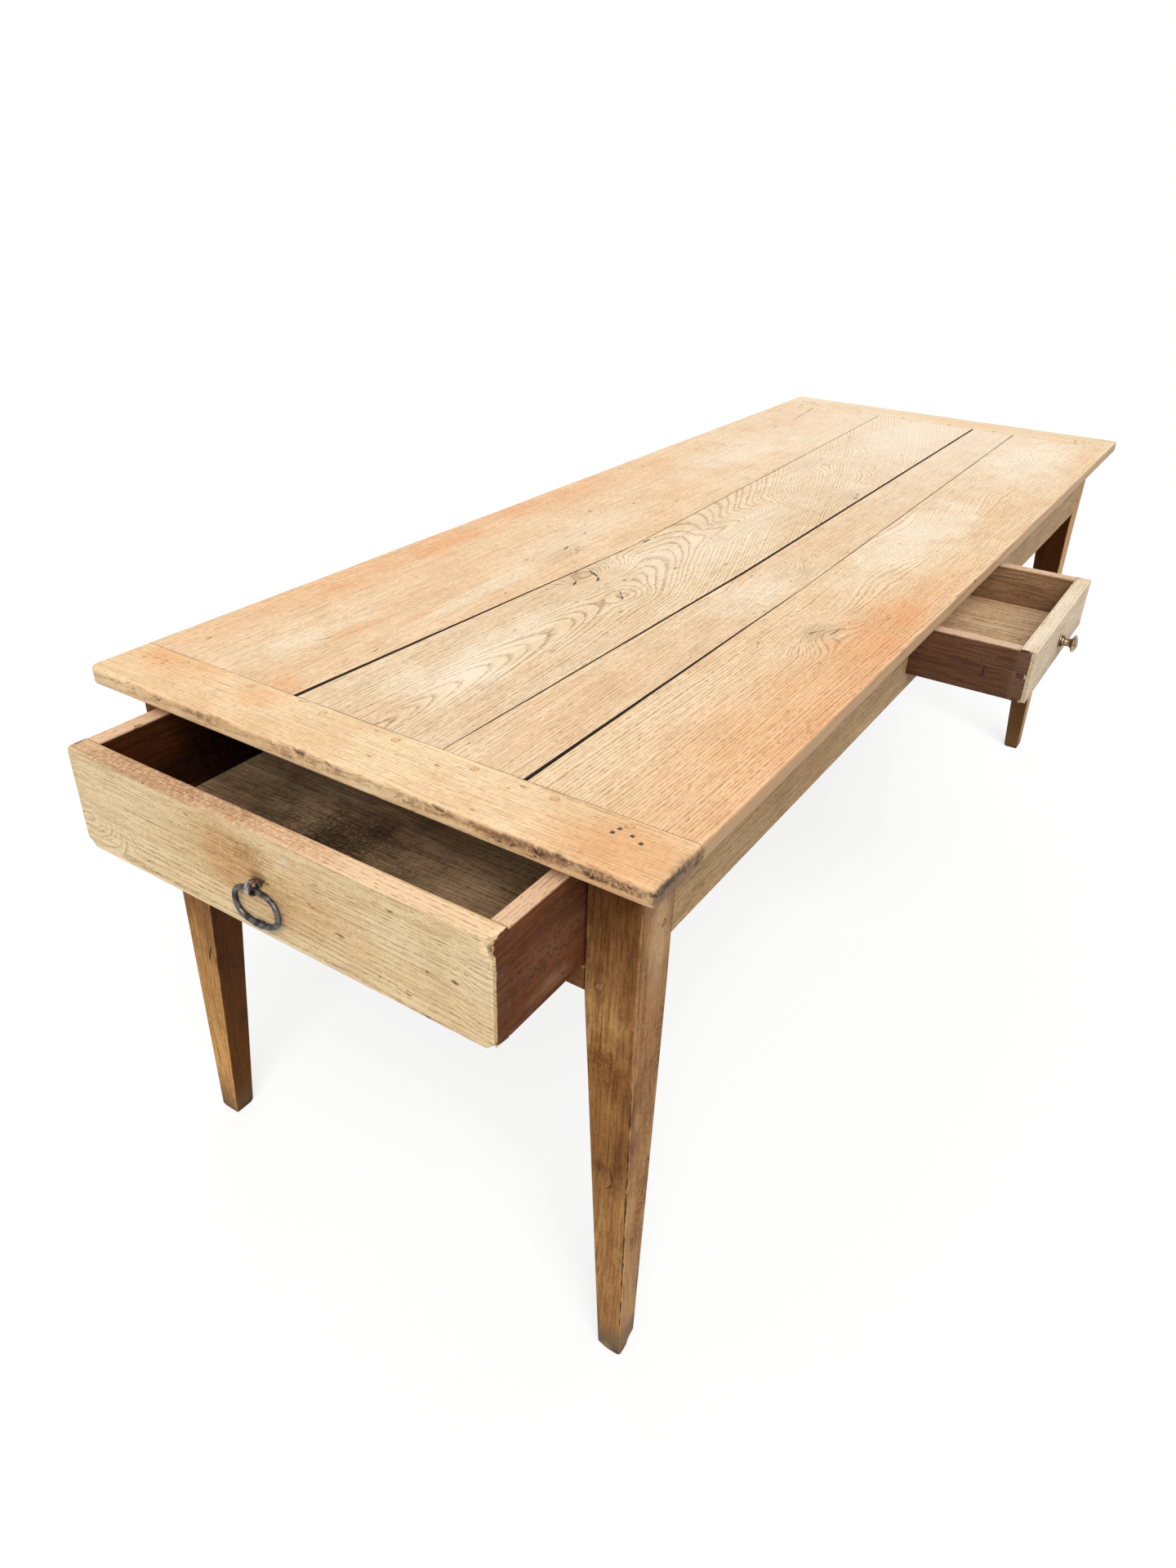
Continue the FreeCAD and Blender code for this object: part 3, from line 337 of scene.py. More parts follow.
rings_group, g, given, gives = effect("Growth rings", [
    ("Board", VECTOR, None), ("Pith across", FLOAT, 0), ("Pith depth", FLOAT, 0.1),
    ("Lean", FLOAT, 0), ("Drift", FLOAT, 0), ("Ring width", FLOAT, 0.004), ("Wander", FLOAT, 0.006),
    ("Ripple", FLOAT, 0.001), ("Swell", FLOAT, 0), ("Swerve", FLOAT, 0), ("Swerve from", FLOAT, 0),
    ("Seed", FLOAT, 0)], [("Line", FLOAT), ("Year", FLOAT)])

u, v, w = g.split(given["Board"])
seed = given["Seed"]
uneven_by, uneven_every = 2.2, 0.37
sharp_by, fades_from, gone_by = 0.12, 0.13, 0.50
slow = stretched(g, (u, v, w), seed, 1.7, 7) - 0.5
quick = stretched(g, (u, v, w), seed, 15, 60, detail=3) - 0.5
across = v - given["Pith across"] - given["Drift"] * u
across = across - given["Swerve"] * g.math("MAXIMUM", u - given["Swerve from"], 0)
depth = w + given["Pith depth"] + given["Lean"] * u
radius = g.math("SQRT", across * across + depth * depth)
radius = radius + slow * given["Wander"] + quick * given["Ripple"] + given["Swell"]
years = radius / given["Ring width"]
years = years + g.cloud(g.join(years * uneven_every, seed, 0), detail=1) * uneven_by
year = g.math("FLOOR", years)
within = g.math("FRACT", years)
line = g.span(within, 0.0, sharp_by) * (1 - g.span(within, fades_from, gone_by))
g.put(gives["Line"], line)
g.put(gives["Year"], g.node("TexWhiteNoise", {"Vector": g.join(year, seed, 0)},
                            noise_dimensions="3D"))

# %% [markdown]
# ## Fibre, pores and flecks
# Oak fibres show as long fine streaks. The open pores are short dark dashes that crowd along
# the ring lines, and wear and worm leave sparser brown flecks on top. Scratch pictures could
# give all three at one fixed size. Noise that is stretched along the board gives the first
# two at any size, and Voronoi cells, a random few of which are kept, give specks with clean
# ends.

# %% Fibre, pores and flecks groups
fibre_group, g, given, gives = effect("Fibre and pores", [
    ("Board", VECTOR, None), ("Line", FLOAT, 0), ("Seed", FLOAT, 0)],
    [("Fibre", FLOAT), ("Pores", FLOAT), ("Cloud", FLOAT)])
u, v, w = g.split(given["Board"])
seed = given["Seed"]
weave = (stretched(g, (u, v, w), seed, 9, 30) - 0.5) * 0.012
woven = (u, v + weave, w + weave)
streak = stretched(g, woven, seed, 11, 190, detail=4, rough=0.62)
strand = stretched(g, woven, seed, 20, 480, detail=3, rough=0.6)
dash = stretched(g, woven, seed, 95, 1100, detail=1)
g.put(gives["Fibre"], streak * 0.5 + strand * 0.5)
g.put(gives["Pores"], g.span(dash + given["Line"] * 0.20, 0.66, 0.76))
g.put(gives["Cloud"], stretched(g, woven, seed, 3, 11, detail=3, rough=0.55))

flecks_group, g, given, gives = effect("Flecks", [
    ("Board", VECTOR, None), ("Spacing", FLOAT, 0.02), ("Length", FLOAT, 3.0),
    ("Share", FLOAT, 0.3), ("Seed", FLOAT, 0)], [("Mask", FLOAT)])
u, v, w = g.split(given["Board"])
spaced = g.join(u / given["Spacing"] / given["Length"] + given["Seed"],
                v / given["Spacing"], w / given["Spacing"])
bent = g.vector("ADD", spaced, g.node("TexNoise", {"Vector": spaced, "Scale": 2.0}, output=1))
cells = g.node("TexVoronoi", {"Vector": bent, "Scale": 1.0}, output=None)
chance = g.node("TexWhiteNoise", {"Vector": Signal(g, cells.outputs["Position"])},
                noise_dimensions="3D")
speck_core, speck_rim = 0.05, 0.17
speck = 1 - g.span(Signal(g, cells.outputs["Distance"]), speck_core, speck_rim)
kept = g.math("LESS_THAN", chance, given["Share"])
g.put(gives["Mask"], speck * kept)

# %% [markdown]
# ## Patches, worn arrises and cracks
# The patina is uneven: orange where old polish is left, bleached where the table was
# scrubbed, grey where damp got in. One could paint that by hand on each board. A soft oval
# with a ragged edge, placed in metres, does the same with a few numbers and stays sharp close
# up. Wear follows the arrises. The surface normal says where a face turns away from the
# board's main directions, which needs no unwrapping, and noise breaks that band up. A crack
# is the distance to a short line, thinned towards both ends.

# %% Patch, arris and crack groups
patch_group, g, given, gives = effect("Patch", [
    ("Place", VECTOR, None), ("Centre", VECTOR, None), ("Size", VECTOR, None),
    ("Feather", FLOAT, 0.6), ("Ragged", FLOAT, 0.5)], [("Mask", FLOAT)])
offset = g.vector("SUBTRACT", given["Place"], given["Centre"])
distance = g.vector("LENGTH", g.vector("DIVIDE", offset, given["Size"]), output=1)
torn = (g.cloud(given["Place"], scale=16, detail=5, rough=0.6) - 0.5) * given["Ragged"] * 2
g.put(gives["Mask"], 1 - g.span(distance + torn, 1 - given["Feather"], 1.0))

arris_group, g, given, gives = effect("Worn arris", [
    ("Normal", VECTOR, None), ("Place", VECTOR, None), ("Broken", FLOAT, 0.5)], [("Rub", FLOAT)])
x, y, z = g.split(g.vector("ABSOLUTE", given["Normal"]))
straight = g.math("MAXIMUM", g.math("MAXIMUM", x, y), z)
arris_turn, face_turn = 0.88, 0.985
turned_away = 1 - g.span(straight, arris_turn, face_turn)
gaps = g.cloud(given["Place"], scale=55, detail=4, rough=0.65)
g.put(gives["Rub"], turned_away * g.span(gaps - given["Broken"] * 0.35 + 0.17, 0.32, 0.62))

crack_group, g, given, gives = effect("Crack", [
    ("Place", VECTOR, None), ("Start", VECTOR, None), ("End", VECTOR, None),
    ("Width", FLOAT, 0.001)], [("Mask", FLOAT)])
run = g.vector("SUBTRACT", given["End"], given["Start"])
reach = g.vector("SUBTRACT", given["Place"], given["Start"])
share = g.vector("DOT_PRODUCT", reach, run, output=1) / g.vector("DOT_PRODUCT", run, run, output=1)
share = g.math("MINIMUM", g.math("MAXIMUM", share, 0), 1)
foot = g.node("VectorMath", {0: run, 3: share}, operation="SCALE")
away = g.vector("DISTANCE", reach, foot, output=1)
crack_waves, crack_sway = 70, 2.5
away = away + (g.cloud(given["Place"], crack_waves, detail=3) - 0.5) * given["Width"] * crack_sway
slim = 1.05 - g.math("POWER", g.math("ABSOLUTE", share * 2 - 1), 3)
g.put(gives["Mask"], 1 - g.span(away / given["Width"] / slim, 0.35, 0.75))
print("groups", [t.name for t in bpy.data.node_groups])

# %% [markdown]
# ## Paints and marks
# A mark on old wood either darkens what is under it, as a stain does, or covers it, as
# bleaching and dirt do. Some marks are painted shade and painted highlight, laid the same way.
# A paint is a colour with its way of mixing. Each board's marks stand in a table, because rows
# of numbers are easier to move and compare than nodes: paint, share, centre x y z, half sizes
# x y z, feather and raggedness, in millimetres on the table.

# %% Paints
black_dirt, brown_dirt = srgb(44, 36, 30), srgb(126, 90, 58)
most_broken = 0.85


def darkening_paint(red, green, blue):
    """A paint that darkens: the share of each light that it lets through."""
    return "MULTIPLY", (red, green, blue)


def covering_paint(red, green, blue):
    """A paint that covers the wood under it with a screen colour."""
    return "MIX", srgb(red, green, blue)


def in_metres(lengths):
    return [length * MM for length in lengths]


def oval(m, place, box, feather, ragged):
    """The mask of a soft oval; box is its centre and half sizes."""
    box = in_metres(box)
    return m.group(patch_group, Place=place, Centre=box[:3], Size=box[3:], Feather=feather,
                   Ragged=ragged)["Mask"]


def mark(m, colour, place, rows, crackle=None):
    """Lays rows of marks over a colour. crackle breaks up the ragged ones."""
    for (blend, paint), share, *box, feather, ragged in rows:
        mask = oval(m, place, box, feather, ragged)
        if crackle and ragged:
            broken = min(most_broken, ragged)
            mask = mask * (crackle * broken + (1 - broken))
        colour = m.mix(mask * share, colour, paint, blend)
    return colour


print("black dirt", [round(v, 3) for v in black_dirt])

# %% [markdown]
# Dirt that is rubbed into dents shows as brown smears with black marks in them, and a crack
# is filled with the same black. Both are laid over the finished wood, so that they hide grain
# and polish alike.

# %% Dirt and cracks
smear_scale, mark_scale = 60, 110
grime_feather, grime_ragged = 0.6, 0.3
crack_strength = 0.9


def soil(m, colour, place, board, parts, rows):
    """Lays rows of dirt over a colour: centre, half sizes and share."""
    for *box, share in rows:
        dirty = oval(m, place, box, grime_feather, grime_ragged)
        smear = m.span(m.cloud(board, smear_scale, detail=6, rough=0.75), 0.46, 0.60)
        flat_place = m.join(parts[0], parts[1] * 0.4, parts[2])
        marks = m.span(m.cloud(flat_place, mark_scale, detail=4, rough=0.7), 0.57, 0.63)
        colour = m.mix(dirty * smear * share * 0.75, colour, brown_dirt)
        colour = m.mix(dirty * marks * share, colour, black_dirt)
    return colour


def crack(m, colour, place, rows):
    """Lays rows of cracks over a colour: two ends and a width."""
    for *ends, width in rows:
        ends = in_metres(ends)
        split = m.group(crack_group, Place=place, Start=ends[:3], End=ends[3:],
                        Width=width * MM)["Mask"]
        colour = m.mix(split * crack_strength, colour, black_dirt)
    return colour


print("smears", smear_scale, "and marks", mark_scale, "to the metre")

# %% [markdown]
# ## Oak
# Every board gets its own oak, because no two boards on a real table match. Copies of one
# material with other colours would give them all the same figure. So one function builds each
# of them from the groups above: base tone, blotches, ring lines, tints by the direction of the
# face, the zones of patina and painted shade, end grain, rubbed arrises, pores, flecks, dirt,
# cracks and the latest marks, in the order in which they lie on one another. The same masks
# feed the bump and the roughness, so that a pore is dark, dull and deep at once.

# %% Oak
AXES = {"x": 0, "y": 1, "z": 2}
dull_tint, gritty_tint = (0.93, 0.885, 0.83), (0.88, 0.82, 0.75)
grit_scale, smudge_scale, crackle_scale = 260, 8, 230
fleck_strength, wall_strength, swell_ragged = 0.85, 0.95, 0.12
pore_depth = 0.25 * MM


def oak(name, axes, centre, tones, seed, pith=(120, 100), lean=0.0, drift=0.0, ring=4, wander=8,
        ripple=1.2, swerve=(0, 0), swells=(), line_share=0.55, pore=(0.16, 0.09, 0.045),
        pore_share=0.5, fleck=None, fleck_share=0.25, fleck_spacing=16, patches=(),
        rub=(0.8, 0.62, 0.42), rub_share=0.35, side_tones=(), joint=None, grime=(), cracks=(),
        late=(), rough=0.62, end_shade=0.62, smudge=1.0, streak_share=0.30, mottle=0.5,
        gloss=0.22):
    """An oak finish in three tones: ground, blotches and lines. Lengths are in millimetres.

    axes names the board's length, width and thickness. patches lie under pores and dirt and
    late marks over them. A swell is a centre, half sizes and the rise of the rings there.
    """
    tone, blotch, line = tones
    material, m = blank_material(name)
    source = m.node("TexCoord", output=None).outputs
    place, normal = Signal(m, source["Object"]), Signal(m, source["Normal"])
    parts = m.split(m.vector("SUBTRACT", place, in_metres(centre)))
    board = m.join(*(parts[AXES[a]] for a in axes))
    facing = m.split(normal)

    swell = 0.0
    for *box, rise in swells:
        swell = oval(m, place, box, 1.0, swell_ragged) * (rise * MM) + swell
    rings = m.group(rings_group, Board=board, Pith_across=pith[0] * MM, Pith_depth=pith[1] * MM,
                    Lean=lean, Drift=drift, Ring_width=ring * MM, Wander=wander * MM,
                    Ripple=ripple * MM, Swell=swell, Swerve=swerve[0],
                    Swerve_from=swerve[1] * MM, Seed=seed)
    fibre = m.group(fibre_group, Board=board, Line=rings["Line"], Seed=seed)
    specks = m.group(flecks_group, Board=board, Spacing=fleck_spacing * MM, Share=fleck_share,
                     Seed=seed)["Mask"]
    rubbed = m.group(arris_group, Normal=normal, Place=place)["Rub"]

    colour = m.mix(m.span(fibre["Cloud"], 0.3, 0.7), tone, blotch)
    colour = m.mix(m.span(fibre["Fibre"], 0.46, 0.60) * streak_share, colour, line)
    grit = m.cloud(m.join(parts[0] * 0.4, parts[1], parts[2]), grit_scale, detail=3, rough=0.6)
    drawn = rings["Line"] * (rings["Year"] * 0.6 + 0.4) * m.span(grit, 0.40, 0.58, 0.25, 1.0)
    colour = m.mix(drawn * line_share, colour, line)
    smudges = m.cloud(place, smudge_scale, detail=6, rough=0.65)
    colour = m.mix(m.span(smudges, 0.42, 0.62) * smudge, colour, dull_tint, "MULTIPLY")
    colour = m.mix(m.span(grit, 0.48, 0.64) * mottle, colour, gritty_tint, "MULTIPLY")
    for axis, sign, side_tint, side_share in side_tones:
        turned_there = m.span(facing[AXES[axis]] * sign, 0.55, 0.9)
        colour = m.mix(turned_there * side_share, colour, side_tint, "MULTIPLY")
    colour = mark(m, colour, place, patches)
    end_grain = m.span(m.math("ABSOLUTE", facing[AXES[axes[0]]]), 0.6, 0.9)
    end_tint = (end_shade, end_shade * 0.94, end_shade * 0.86)
    colour = m.mix(end_grain, colour, end_tint, "MULTIPLY")
    if joint:
        axis, limit = joint
        inside = m.math("LESS_THAN", m.math("ABSOLUTE", m.split(place)[AXES[axis]]), limit * MM)
        rubbed = rubbed * (1 - inside)
    colour = m.mix(rubbed * rub_share, colour, rub)
    colour = m.mix(fibre["Pores"] * pore_share, colour, pore)
    colour = m.mix(specks * fleck_strength, colour, fleck or pore)
    colour = soil(m, colour, place, board, parts, grime)
    colour = crack(m, colour, place, cracks)
    if late:
        crackle = m.span(m.cloud(place, crackle_scale, detail=5, rough=0.7), 0.42, 0.52)
        colour = mark(m, colour, place, late, crackle)
    if joint:
        wall = m.span(m.math("ABSOLUTE", facing[AXES[axis]]), 0.6, 0.92)
        colour = m.mix(wall * inside * wall_strength, colour, black_dirt)

    hollow = fibre["Pores"] * 0.5 + specks * 0.8 + rings["Line"] * 0.35 - fibre["Fibre"] * 0.3
    height = m.node("Bump", {"Strength": 0.6, "Distance": pore_depth, "Height": 1 - hollow})
    sheen = m.span(fibre["Fibre"] + fibre["Cloud"], 0.6, 1.4, rough + 0.08, rough - 0.08)
    surface = m.node("BsdfPrincipled", {"Base Color": colour, "Roughness": sheen,
                                        "Normal": height, "Specular IOR Level": gloss})
    m.node("OutputMaterial", {"Surface": surface}, output=None)
    return material


print("pores are up to", round(pore_depth / MM, 3), "mm deep")

# %% [markdown]
# ## Worn boards
# A board that has been used for generations has no sharp edge and no flat face. One could
# sculpt it, or displace it in the render only, but then the looks would leave the size of the
# solid. Here the CAD solid is copied, its long outer edges are eased by a small bevel, and it
# is sliced into a grid, so that its faces can dip a little, always inwards. Dents and chips
# push the surface in further round a point.

# %% Edges, slices and wear
eased_angle, bevel_room = math.radians(40), 2.4
cut_sway, cut_turn = 0.03, 7
slow_share, fine_share = 0.7, 0.3
slow_waves, fine_waves, fine_shift = 9, 55, Vector((3, 1, 7))


def ease_edges(bm, width):
    """Bevels the long convex edges that have room for it."""
    short = {vert for vert in bm.verts
             if any(e.calc_length() < bevel_room * width for e in vert.link_edges)}
    edges = [e for e in bm.edges if len(e.link_faces) == 2 and e.is_convex
             and e.calc_face_angle(0) > eased_angle and not (set(e.verts) & short)]
    if edges:
        bmesh.ops.bevel(bm, geom=edges, offset=width, segments=2, profile=0.5, affect="EDGES",
                        clamp_overlap=True)


def slice_grid(bm, steps, fine):
    """Cuts the faces by planes across x, y and z, a step apart, and closer in the fine spans."""
    spans = []
    for axis, step in enumerate(steps):
        if step:
            places = [v.co[axis] for v in bm.verts]
            spans.append((axis, min(places), max(places), step * MM))
    spans += [("xyz".index(axis), low * MM, high * MM, step * MM) for axis, low, high, step in fine]
    for axis, low, high, step in spans:
        count = max(1, round((high - low) / step))
        across_plane = Vector([float(i == axis) for i in range(3)])
        for i in range(1, count):
            at = low + (high - low) * (i + cut_sway * math.sin(cut_turn * i)) / count
            bmesh.ops.bisect_plane(bm, geom=bm.verts[:] + bm.edges[:] + bm.faces[:], dist=1e-7,
                                   plane_co=across_plane * at, plane_no=across_plane)


def wear(bm, dip, dents):
    """Moves the surface inwards by slow noise, and by more at each dent."""
    bm.normal_update()
    moves = []
    for vert in bm.verts:
        slow_dip = 0.5 + 0.5 * noise.noise(vert.co * slow_waves)
        fine_dip = 0.5 + 0.5 * noise.noise(vert.co * fine_waves + fine_shift)
        moves.append((slow_share * slow_dip + fine_share * fine_dip) * dip * MM)
    for spot, reach, sink in dents:
        middle = Vector(spot) * MM
        for i, vert in enumerate(bm.verts):
            near = (vert.co - middle).length / (reach * MM)
            if near < 1:
                moves[i] += sink * MM * (1 - near * near) ** 2
    for vert, move in zip(bm.verts, moves):
        vert.co -= vert.normal * move


print("edges ease from", round(math.degrees(eased_angle)), "degrees on")

# %% [markdown]
# ## Pieces
# A finished piece rides on the body that its board belongs to, has one material slot for its
# finish, and says which pieces of the construction model it takes the place of. The solid's
# tiny facets are merged back into whole faces first, or the bevel would find no room. Smooth
# shading alone would make flat boards look swollen, so edges that turn sharply stay crisp and
# large faces lead the normals.

# %% Pieces
crisp_angle, flat_angle = math.radians(55), math.radians(0.5)
merge_distance = 0.004 * MM


def mesh_piece(name, bm, material, body, replaced):
    """A finished object from a bmesh: smooth, weighted, on its body and in place of its nodes."""
    bmesh.ops.triangulate(bm, faces=[f for f in bm.faces if len(f.verts) > 4])
    for face in bm.faces:
        face.smooth = True
    for edge in bm.edges:
        edge.smooth = len(edge.link_faces) != 2 or edge.calc_face_angle(0) < crisp_angle
    mesh = bpy.data.meshes.new(name)
    bm.to_mesh(mesh)
    bm.free()
    mesh.materials.append(material)
    piece = bpy.data.objects.new(name, mesh)
    bpy.context.scene.collection.objects.link(piece)
    weighted = piece.modifiers.new("faces stay flat", "WEIGHTED_NORMAL")
    weighted.keep_sharp = True
    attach(piece, body)
    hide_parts(*replaced)
    return piece


def worn(node, material, body="table", edge=1.0, grid=(30, 30, 30), dip=0.3, dents=(),
         fine=()):
    """A worn copy of a CAD board. edge, grid, dip, dents and fine are in millimetres."""
    bm = bmesh.new()
    bm.from_mesh(nodes[node].data)
    bmesh.ops.remove_doubles(bm, verts=bm.verts, dist=merge_distance)
    bmesh.ops.dissolve_limit(bm, angle_limit=flat_angle, verts=bm.verts, edges=bm.edges)
    ease_edges(bm, edge * MM)
    slice_grid(bm, grid, fine)
    wear(bm, dip, dents)
    piece = mesh_piece("worn_" + node, bm, material, body, [node])
    print(piece.name, "faces", len(piece.data.polygons))


def repaint(node, material):
    """Gives a piece that stays as the CAD has it a new finish."""
    nodes[node].data.materials.clear()
    nodes[node].data.materials.append(material)


print("boards stay crisp beyond", round(math.degrees(crisp_angle)), "degrees")

# %% [markdown]
# ## The top
# Four planks were sawn from different logs. They could share one oak with its origin moved,
# but their figures on the real top differ in kind, from straight lines to nested arches. So
# each gets its own pith, and swells that push the rings aside where the knots and the nested
# figures are. All of them were scrubbed palest at the far end, and their joints are black
# inside.

# %% Top plank
warm, honey = srgb(250, 222, 184), srgb(245, 210, 168)
grain_brown, fleck_brown, top_pore = srgb(178, 132, 92), srgb(176, 122, 82), srgb(150, 105, 66)
orange, deep_orange = darkening_paint(0.985, 0.83, 0.72), darkening_paint(0.95, 0.73, 0.58)
grey, scrubbed = darkening_paint(0.78, 0.76, 0.74), covering_paint(250, 238, 214)
far_scrub = (covering_paint(248, 232, 208), 0.68, 950, 0, 0, 1100, 600, 400, 1.0, 0.25)


def plank(node, name, y_mid, tones, seed, swells=(), cracks=(), patches=(), **more):
    """A top plank. Its rows leave out height and depth: the face is at 0, and 100 goes through."""
    finish = oak(
        name, "xyz", (0, y_mid, 0), tones, seed, pore=top_pore, joint=("y", 370), smudge=0.8,
        rub=srgb(240, 196, 160),
        swells=[(x, y, 0, long, wide, 100, rise) for x, y, long, wide, rise in swells],
        cracks=[(x, y, 0, to_x, to_y, 0, width) for x, y, to_x, to_y, width in cracks],
        patches=[(paint, share, x, y, 0, long, wide, 100, feather, ragged)
                 for paint, share, x, y, long, wide, feather, ragged in patches] + [far_scrub],
        **more)
    worn(node, finish, edge=0.5, grid=(26, 13, 0), dip=0.7)


print("orange", orange[1], "scrubbed", [round(v, 3) for v in scrubbed[1]])

# %% [markdown]
# The left plank is straight grained and warm, with orange blotches along its outer edge and a
# long crack at the far end. The wide centre one has a bold nested figure at the near end and
# is scrubbed pale. A pith that leans towards the face gives nested arches, so the centre
# plank has the lean, and the swells bend its arches round the knots.

# %% Left and centre planks
plank("plank_left_wide", "left plank oak", 240, (warm, honey, grain_brown), 3.1, pith=(420, 130),
      drift=0.02, wander=12, line_share=0.62, swells=[
          (-339, 169, 35, 22, 14), (300, 200, 300, 60, 12)], cracks=[
          (928, 299, 746, 280, 2), (700, 276, 140, 247, 0.7), (-352, 176, -332, 180, 1.8),
          (-350, 163, -325, 164, 1.5), (-325, 164, -320, 174, 1.4),
          (-830, 225, -800, 215, 1.2)], patches=[
          (orange, 0.9, -560, 375, 500, 110, 0.85, 0.7),
          (deep_orange, 0.6, -456, 335, 160, 30, 0.9, 0.9),
          (deep_orange, 0.6, -670, 333, 60, 30, 0.9, 1.1),
          (deep_orange, 0.8, -945, 158, 50, 35, 0.9, 1.0),
          (deep_orange, 0.7, -772, 211, 70, 16, 0.9, 0.7),
          (deep_orange, 0.6, -688, 176, 55, 10, 0.9, 0.7),
          (orange, 0.9, -100, 360, 260, 80, 0.9, 0.7),
          (deep_orange, 0.6, 222, 336, 70, 25, 0.9, 0.9),
          (orange, 0.6, 248, 205, 120, 30, 0.9, 0.8),
          (scrubbed, 0.37, -830, 235, 140, 35, 0.9, 0.7),
          (scrubbed, 0.37, -550, 165, 180, 30, 0.9, 0.7),
          (scrubbed, 0.31, -250, 200, 300, 60, 0.9, 0.6),
          (scrubbed, 0.45, 380, 240, 340, 90, 0.9, 0.6),
          (grey, 0.5, -360, 165, 70, 30, 0.9, 0.8)])
plank("plank_centre_wide", "centre plank oak", 15,
      (srgb(249, 226, 190), srgb(243, 214, 176), srgb(164, 124, 90)), 8.4, pith=(0, 105),
      lean=0.098, drift=0.010, ring=4.2, wander=18, ripple=1.6, line_share=0.78,
      swerve=(0.22, -420), swells=[
          (-430, 75, 130, 55, 34), (-455, -5, 60, 50, -10), (0, 22, 240, 45, -26),
          (230, -75, 80, 45, 34), (400, -55, 100, 45, -16), (380, 75, 100, 50, 20),
          (620, 20, 160, 50, -26)], cracks=[
          (-405, 94, -420, 68, 3), (-420, 68, -436, 60, 3), (-445, 88, -470, 78, 1.8),
          (-452, 12, -476, -8, 2.6), (205, -79, 232, -80, 2.4), (232, -80, 245, -70, 1.8),
          (-220, 98, -245, 97, 2.4)], patches=[
          (scrubbed, 0.34, -660, 45, 180, 50, 0.9, 0.6),
          (scrubbed, 0.55, -800, 20, 120, 70, 0.9, 0.5),
          (scrubbed, 0.35, -300, 50, 100, 50, 0.9, 0.4),
          (scrubbed, 0.43, 750, 10, 280, 100, 0.8, 0.5),
          (scrubbed, 0.37, -150, 10, 400, 90, 0.9, 0.5),
          (scrubbed, 0.43, 30, 23, 90, 12, 0.9, 0.4), (grey, 0.8, -420, 92, 90, 25, 0.9, 0.9),
          (grey, 0.7, 230, -70, 70, 35, 0.9, 0.8), (grey, 0.5, 380, 85, 80, 30, 0.9, 0.8)])

# %% [markdown]
# The narrow plank is plain, so straight lines from a pith far to one side do. The right one
# is orange along its outer edge. Its side face is seen at a slant from close by, so it has
# marks of its own: a dull brown with a paler streak under the arris, and a dark line along the
# bottom that is painted shade where the top meets the rail.

# %% Narrow and right planks
plank("plank_centre_narrow", "narrow plank oak", -135,
      (srgb(248, 223, 187), srgb(242, 211, 172), grain_brown), 5.7, pith=(-320, 120),
      drift=0.01, wander=10, line_share=0.75, fleck=fleck_brown, fleck_share=0.4,
      fleck_spacing=11, swells=[
          (-210, -160, 50, 30, 14), (-360, -115, 100, 30, 12)], patches=[
          (scrubbed, 0.37, -330, -140, 200, 50, 0.9, 0.6),
          (orange, 0.4, -800, -140, 250, 50, 0.9, 0.8),
          (grey, 0.6, -210, -165, 40, 20, 0.8, 0.9)])
plank("plank_right", "right plank oak", -280, (warm, srgb(245, 212, 170), grain_brown), 11.9,
      pith=(240, 100), drift=-0.02, ring=4.2, wander=12, line_share=0.75, fleck=fleck_brown,
      fleck_share=0.35, fleck_spacing=12, side_tones=[("y", -1, (0.72, 0.61, 0.52), 1.0)], swells=[
          (-420, -275, 110, 50, 30), (-160, -250, 220, 50, 22), (100, -240, 200, 60, -20),
          (400, -260, 180, 60, 18), (700, -270, 120, 60, -30)], cracks=[
          (-435, -262, -405, -280, 1.6), (-425, -288, -395, -292, 1.6)], patches=[
          (orange, 1.0, -700, -375, 500, 145, 0.65, 0.5),
          (deep_orange, 0.35, -600, -385, 420, 50, 0.9, 0.5),
          (orange, 1.0, -340, -335, 200, 70, 0.8, 0.6),
          (orange, 0.8, -160, -350, 220, 50, 0.8, 0.6),
          (scrubbed, 0.65, 60, -240, 400, 90, 0.9, 0.6),
          (scrubbed, 0.65, 720, -260, 340, 120, 0.9, 0.6),
          (grey, 0.9, -420, -275, 60, 35, 0.9, 1.0), (grey, 0.5, 660, -265, 80, 30, 0.9, 1.0),
          (orange, 0.7, 800, -355, 200, 45, 0.9, 0.6)], late=[
          (covering_paint(196, 166, 130), 0.75, 0, -385.5, -12, 5000, 6.5, 18, 0.4, 0.2),
          (covering_paint(150, 120, 90), 0.7, -100, -385.5, -5, 900, 6, 3.5, 0.8, 1.0),
          # Painted shade: a dark line along the bottom of the side face.
          (covering_paint(84, 62, 44), 0.85, 0, -384, -22.5, 5000, 20, 4, 0.6, 0.4),
          (covering_paint(44, 36, 30), 0.9, -86, -384, -3, 4, 6, 4.5, 0.5, 0.4),
          (darkening_paint(0.4, 0.3, 0.24), 0.9, -948, -384, -12, 7, 6, 12, 0.7, 0.8)])

# %% [markdown]
# ## The breadboards
# Two boards close the ends of the top, with their grain across the table. The near one took
# all the knocks: its front edge is rounded, dented and dark with dirt, and its right corner
# is stained black. Bump could fake the dents, but the edge is seen against the drawer, where
# only a changed outline convinces. So the dents are real hollows in the mesh, and the dirt
# that fills them is broken up by noise and flecks.

